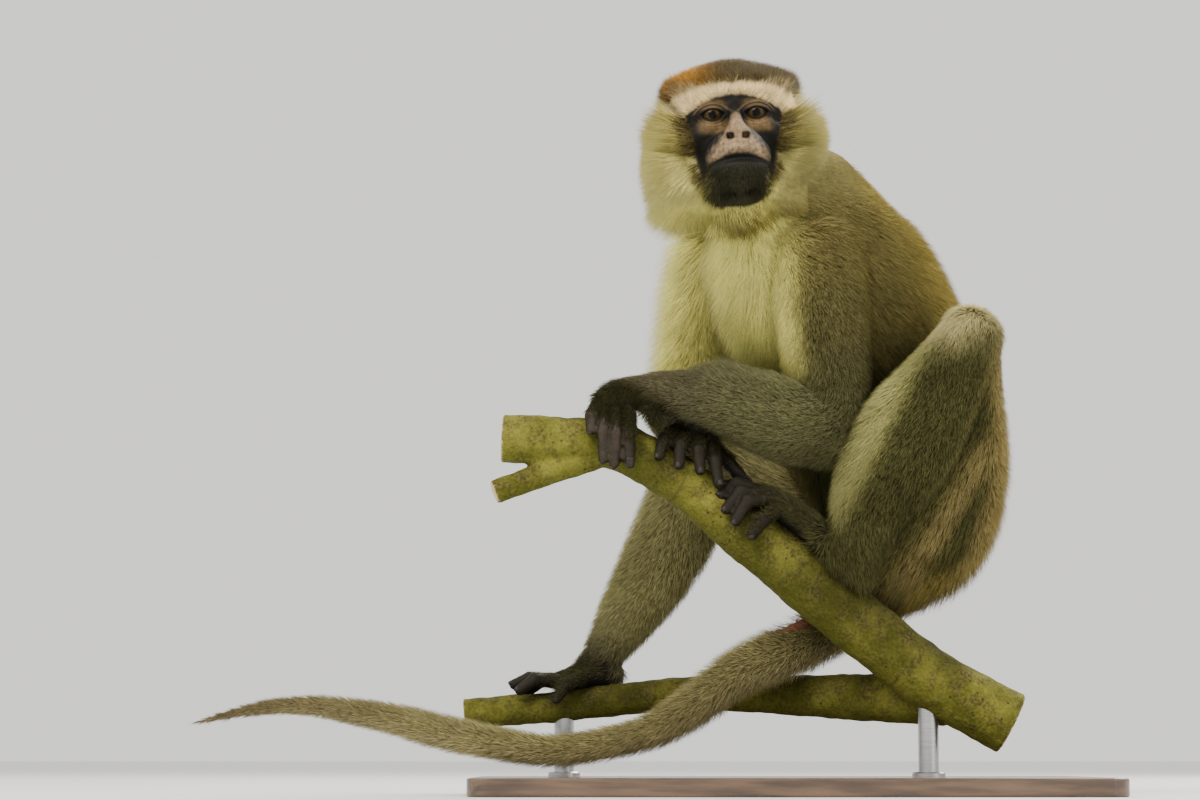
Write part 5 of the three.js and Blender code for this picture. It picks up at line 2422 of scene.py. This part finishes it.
@dataclass
class Nails:
    """The nails of both hands and feet, as one piece."""

    width: float = 5.6
    length: float = 7.0
    thickness: float = 0.8
    name: str = "monkey_nails"

    def add_nail(self, shape: BMesh, middle: Array, tip: Array, away: Array) -> None:
        """Adds one nail over a digit's last joint.

        Args:
            shape: the mesh to add it to.
            middle: the digit's middle joint.
            tip: the digit's tip.
            away: a point on the palm's side.
        """
        cells = 6
        way = unit(tip - middle)
        up = tip - away
        up = unit(up - way * (up @ way))
        side = np.cross(way, up)
        grid = bmesh.ops.create_grid(shape, x_segments=cells, y_segments=cells, size=0.5)["verts"]
        for vert in grid:
            across, along = vert.co.x * 2.0, vert.co.y + 0.5
            bow = 1.0 - 0.35 * along**3
            sag = 1.9 * across**2 + 0.9 * (1.0 - along) ** 2 + 0.8 * along**3
            place = tip + way * ((along - 0.45) * self.length) + up * (4.0 - sag)
            vert.co = Vector(place + side * (across * self.width / 2 * bow))
        faces = list({face for vert in grid for face in vert.link_faces})
        bmesh.ops.recalc_face_normals(shape, faces=faces)
        bmesh.ops.solidify(shape, geom=faces, thickness=self.thickness)

    def build(self) -> Object:
        """Makes the nails.

        Returns:
            Their object.
        """
        shape = bmesh.new()
        for limb in EXTREMITIES:
            for _, middle, tip in np.array(limb.digits, float):
                self.add_nail(shape, middle, tip, np.array(limb.away, float))
        bmesh.ops.recalc_face_normals(shape, faces=shape.faces[:])
        made = object_from_bmesh(self.name, shape)
        made.data.materials.append(NailFinish().material())
        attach(made, BODY)
        return made


# ---- Perch and stand


@dataclass
class Perch:
    """The forked length of branch as one piece of bark, with sawn ends.

    Attributes:
        stems: its stems.
        voxel: the size of its faces.
        rounds: how often it is evened.
        lumps: how far its lumps stand out.
    """

    stems: tuple[Stem, ...] = (MAIN_STEM, STUB_STEM, LOWER_STEM)
    voxel: float = 1.7
    rounds: int = 2
    lumps: float = 0.7
    name: str = "perch_bark"

    def add_stem(self, shape: BMesh, rows: Array) -> None:
        """Adds a stem by drawing a ring along its rows.

        Args:
            shape: the mesh to add it to.
            rows: rows of x, y, z and half width.
        """
        sides = 40
        ways = unit(np.gradient(rows[:, :3], axis=0))
        ring = bmesh.ops.create_circle(shape, cap_ends=True, segments=sides, radius=1.0)["verts"]
        edges = [e for e in shape.edges if all(v in ring for v in e.verts)]
        self.set_ring(ring, rows[0], ways[0])
        for row, way in zip(rows[1:], ways[1:]):
            drawn = bmesh.ops.extrude_edge_only(shape, edges=edges)["geom"]
            ring = [g for g in drawn if isinstance(g, BMVert)]
            edges = [g for g in drawn if isinstance(g, BMEdge) and all(v in ring for v in g.verts)]
            self.set_ring(ring, row, way)
        bmesh.ops.holes_fill(shape, edges=edges, sides=0)

    def set_ring(self, ring: list, row: Array, way: Array) -> None:
        """Places a ring's points round a row.

        Args:
            ring: the points, in order round the ring.
            row: x, y, z and half width.
            way: the stem's direction.
        """
        second = unit(np.array((0.0, 1.0, 0.0)) - way * way[1])
        first = np.cross(second, way)
        for i, vert in enumerate(ring):
            angle = 2 * math.pi * i / len(ring)
            place = row[:3] + (first * math.cos(angle) + second * math.sin(angle)) * row[3]
            vert.co = Vector(place)

    def stem_values(self, points: Array, normals: Array) -> Array:
        """How far each point is out from its stem, along it, and whether it is on a sawn end.

        Args:
            points: rows of x, y and z.
            normals: the outward directions.

        Returns:
            Rows of four numbers.
        """
        values = np.ones((len(points), 4))
        best = np.full(len(points), 1e9)
        for stem in self.stems:
            rows = stem.rows()
            ways = unit(np.gradient(rows[:, :3], axis=0))
            steps = np.linalg.norm(np.diff(rows[:, :3], axis=0), axis=1)
            travel = np.concatenate([[0.0], np.cumsum(steps)])
            gap = np.linalg.norm(points[:, None] - rows[None, :, :3], axis=2)
            near = gap.argmin(1)
            offset = points - rows[near, :3]
            step = (offset * ways[near]).sum(1)
            out = np.linalg.norm(offset - ways[near] * step[:, None], axis=1) / rows[near, 3]
            facing = np.abs((normals * ways[near]).sum(1))
            ended = ramp(facing, 0.6, 0.85) * ((near == 0) | (near == len(rows) - 1))
            closer = gap.min(1) - rows[near, 3] < best
            best = np.where(closer, gap.min(1) - rows[near, 3], best)
            values[closer, 0] = out[closer]
            values[closer, 1] = ((travel[near] + step) / stem.scars)[closer]
            values[closer, 2] = ended[closer]
        return values

    def build(self) -> Object:
        """Makes the perch.

        Returns:
            Its object.
        """
        shape = bmesh.new()
        for stem in self.stems:
            self.add_stem(shape, stem.rows())
        bmesh.ops.recalc_face_normals(shape, faces=shape.faces[:])
        mesh = remeshed(object_from_bmesh("rough_perch", shape), self.voxel)
        mesh.name = self.name
        points, normals = evened(mesh, self.rounds), normals_of(mesh)
        values = self.stem_values(points, normals)
        lump = 0.7 * ripple(points, 34.0) + 0.5 * ripple(points, 13.0, 1.0)
        scar = np.exp(-(((values[:, 1] + 0.5) % 1.0 - 0.5) / 0.03) ** 2)
        lift = (self.lumps * lump + 0.12 * scar) * (1.0 - values[:, 2])
        move_points(mesh, points + normals * lift[:, None])
        write_colours(mesh, "stem", values)
        made = add_object(self.name, mesh)
        mesh.materials.clear()
        mesh.materials.append(BarkFinish().material())
        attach(made, BODY)
        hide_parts(*[n for n in sorted(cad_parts) if n.startswith("perch_")])
        return made


@dataclass
class Stand:
    """The display stand: a wooden base and two steel rods with collars.

    Attributes:
        edge: the width of the base's rounded edges.
        rods: x, y and top of each rod.
        radius: a rod's half width.
        collar: a collar's half width.
        collar_height: its height.
        base_top: the height of the base's top.
    """

    edge: float = 1.6
    rods: tuple[Vec, ...] = ((92, -45, 80), (-150, 40, 58))
    radius: float = 6.8
    collar: float = 11.0
    collar_height: float = 3.4
    base_top: float = 12.0

    def build_base(self) -> Object:
        """Makes the base.

        Returns:
            Its object.
        """
        shape = bmesh.new()
        shape.from_mesh(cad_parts["stand_base"].data)
        bmesh.ops.scale(shape, vec=(1 / METRES,) * 3, verts=shape.verts)
        bmesh.ops.remove_doubles(shape, verts=shape.verts[:], dist=0.01)
        bmesh.ops.dissolve_limit(shape, angle_limit=0.02, verts=shape.verts[:], edges=shape.edges[:])
        sharp = [e for e in shape.edges if e.calc_face_angle(0.0) > math.radians(60)]
        rounded = {"segments": 4, "profile": 0.5, "affect": "EDGES", "material": -1}
        bmesh.ops.bevel(shape, geom=sharp, offset=self.edge, **rounded)
        made = object_from_bmesh("stand_plinth", shape, smooth=False)
        self.join(made, StandWoodFinish().material(), "stand_base")
        return made

    def build_rod(self, number: int) -> Object:
        """Makes a rod with its collar.

        Args:
            number: which rod.

        Returns:
            Its object.
        """
        x, y, top = self.rods[number]
        low, flare, thin, thick = self.base_top, 0.8, self.radius, self.collar
        high = low + self.collar_height
        profile = (
            (0.0, low), (thick, low), (thick, high - flare), (thick - flare, high), (thin, high),
            (thin, top - flare), (thin - flare, top), (0.0, top),
        )
        shape = bmesh.new()
        verts = [shape.verts.new((x + out, y, z)) for out, z in profile]
        edges = [shape.edges.new(pair) for pair in zip(verts[:-1], verts[1:])]
        turn = {"cent": (x, y, 0), "axis": (0, 0, 1), "angle": 2 * math.pi, "steps": 48}
        bmesh.ops.spin(shape, geom=verts + edges, use_merge=True, **turn)
        bmesh.ops.remove_doubles(shape, verts=shape.verts[:], dist=0.001)
        bmesh.ops.recalc_face_normals(shape, faces=shape.faces[:])
        made = object_from_bmesh(f"stand_post_{number + 1}", shape)
        made.data.set_sharp_from_angle(angle=math.radians(35))
        self.join(made, RodFinish().material(), f"stand_rod_{number + 1}")
        return made

    def join(self, made: Object, finish: Material, node: str) -> None:
        """Finishes a piece and joins it to the frame.

        Args:
            made: the piece.
            finish: its material.
            node: the CAD node that it stands for.
        """
        made.data.materials.clear()
        made.data.materials.append(finish)
        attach(made, BODY)
        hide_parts(node)


# ---- Studio


@dataclass(frozen=True)
class SoftBox:
    """A large soft light, with its place and width in metres."""

    name: str
    at: Vec
    width: float
    watts: float
    tint: Colour = (1.0, 1.0, 1.0)


@dataclass
class Studio:
    """The floor, the light and the camera, with places and the floor's width in metres.

    Attributes:
        target: what the lights point at.
        air: the brightness all round.
        camera_rise: degrees that the camera looks up.
        camera_shift: how far its frame is moved up, in widths.
        lens: its focal length, in millimetres like its sensor.
    """

    target: Vec = (-0.03, -0.02, 0.3)
    floor_width: float = 60.0
    boxes: tuple[SoftBox, ...] = (
        SoftBox("key", (-1.3, -1.9, 2.3), 1.6, 95.0, (1.0, 0.96, 0.88)),
        SoftBox("fill", (2.2, -1.8, 1.2), 2.2, 30.0, (1.0, 0.98, 0.94)),
        SoftBox("rim", (1.2, 1.5, 2.0), 1.4, 75.0, (1.0, 0.95, 0.85)),
    )
    air: float = 1.15
    camera_at: Vec = (-0.1254, -2.23086, 0.02395)
    camera_rise: float = 6.5
    camera_shift: float = -0.0125
    lens: float = 98.5
    sensor: float = 36.0

    def build_floor(self) -> Object:
        """Makes the floor.

        Returns:
            Its object.
        """
        thickness = 0.05
        shape = bmesh.new()
        bmesh.ops.create_cube(shape, size=1.0)
        bmesh.ops.scale(shape, vec=(self.floor_width, self.floor_width, thickness), verts=shape.verts)
        bmesh.ops.translate(shape, vec=(0, 0, -thickness / 2), verts=shape.verts)
        bmesh.ops.scale(shape, vec=(1 / METRES,) * 3, verts=shape.verts)
        made = object_from_bmesh("studio_floor", shape, smooth=False)
        made.data.materials.append(FloorFinish().material())
        return made

    def build_lights(self) -> None:
        """Makes the soft lights and the air's even glow."""
        for box in self.boxes:
            lamp = bpy.data.lights.new(box.name, "AREA")
            lamp.shape, lamp.size, lamp.energy, lamp.color = "DISK", box.width, box.watts, box.tint
            holder = bpy.data.objects.new(box.name, lamp)
            holder.location = box.at
            aim = Vector(self.target) - Vector(box.at)
            holder.rotation_euler = aim.to_track_quat("-Z", "Y").to_euler()
            bpy.context.scene.collection.objects.link(holder)
        world = bpy.data.worlds.new("studio_air")
        world.use_nodes = True
        glow = world.node_tree.nodes["Background"]
        glow.inputs["Color"].default_value = (1.0, 0.99, 0.955, 1.0)
        glow.inputs["Strength"].default_value = self.air
        bpy.context.scene.world = world

    def build_camera(self) -> None:
        """Makes the camera."""
        camera = bpy.data.cameras.new("view")
        camera.lens, camera.sensor_width = self.lens, self.sensor
        camera.shift_y = self.camera_shift
        holder = bpy.data.objects.new("view", camera)
        holder.location = self.camera_at
        holder.rotation_euler = (math.radians(90.0 + self.camera_rise), 0.0, 0.0)
        bpy.context.scene.collection.objects.link(holder)
        bpy.context.scene.camera = holder


# ---- The whole


def report(made: Object) -> None:
    """Logs a finished piece's name and size."""
    LOG.info("%s: %d faces", made.name, len(made.data.polygons))


def main() -> None:
    """Builds the model and its studio in order."""
    logging.basicConfig(level=logging.INFO, format="%(message)s")
    rng = np.random.default_rng(SEED)
    stand = Stand()
    report(stand.build_base())
    for number in range(len(stand.rods)):
        report(stand.build_rod(number))
    report(Perch().build())
    skin = Skin()
    body = skin.build()
    numbers = skin.dress(body)
    report(body)
    for node, side in (("eye_left", 1), ("eye_right", -1)):
        report(Eye(node, side).build())
    report(Nails().build())
    for piece in COAT:
        report(piece.build(numbers, rng))
    studio = Studio()
    studio.build_floor()
    studio.build_lights()
    studio.build_camera()


if __name__ == "__main__":
    main()
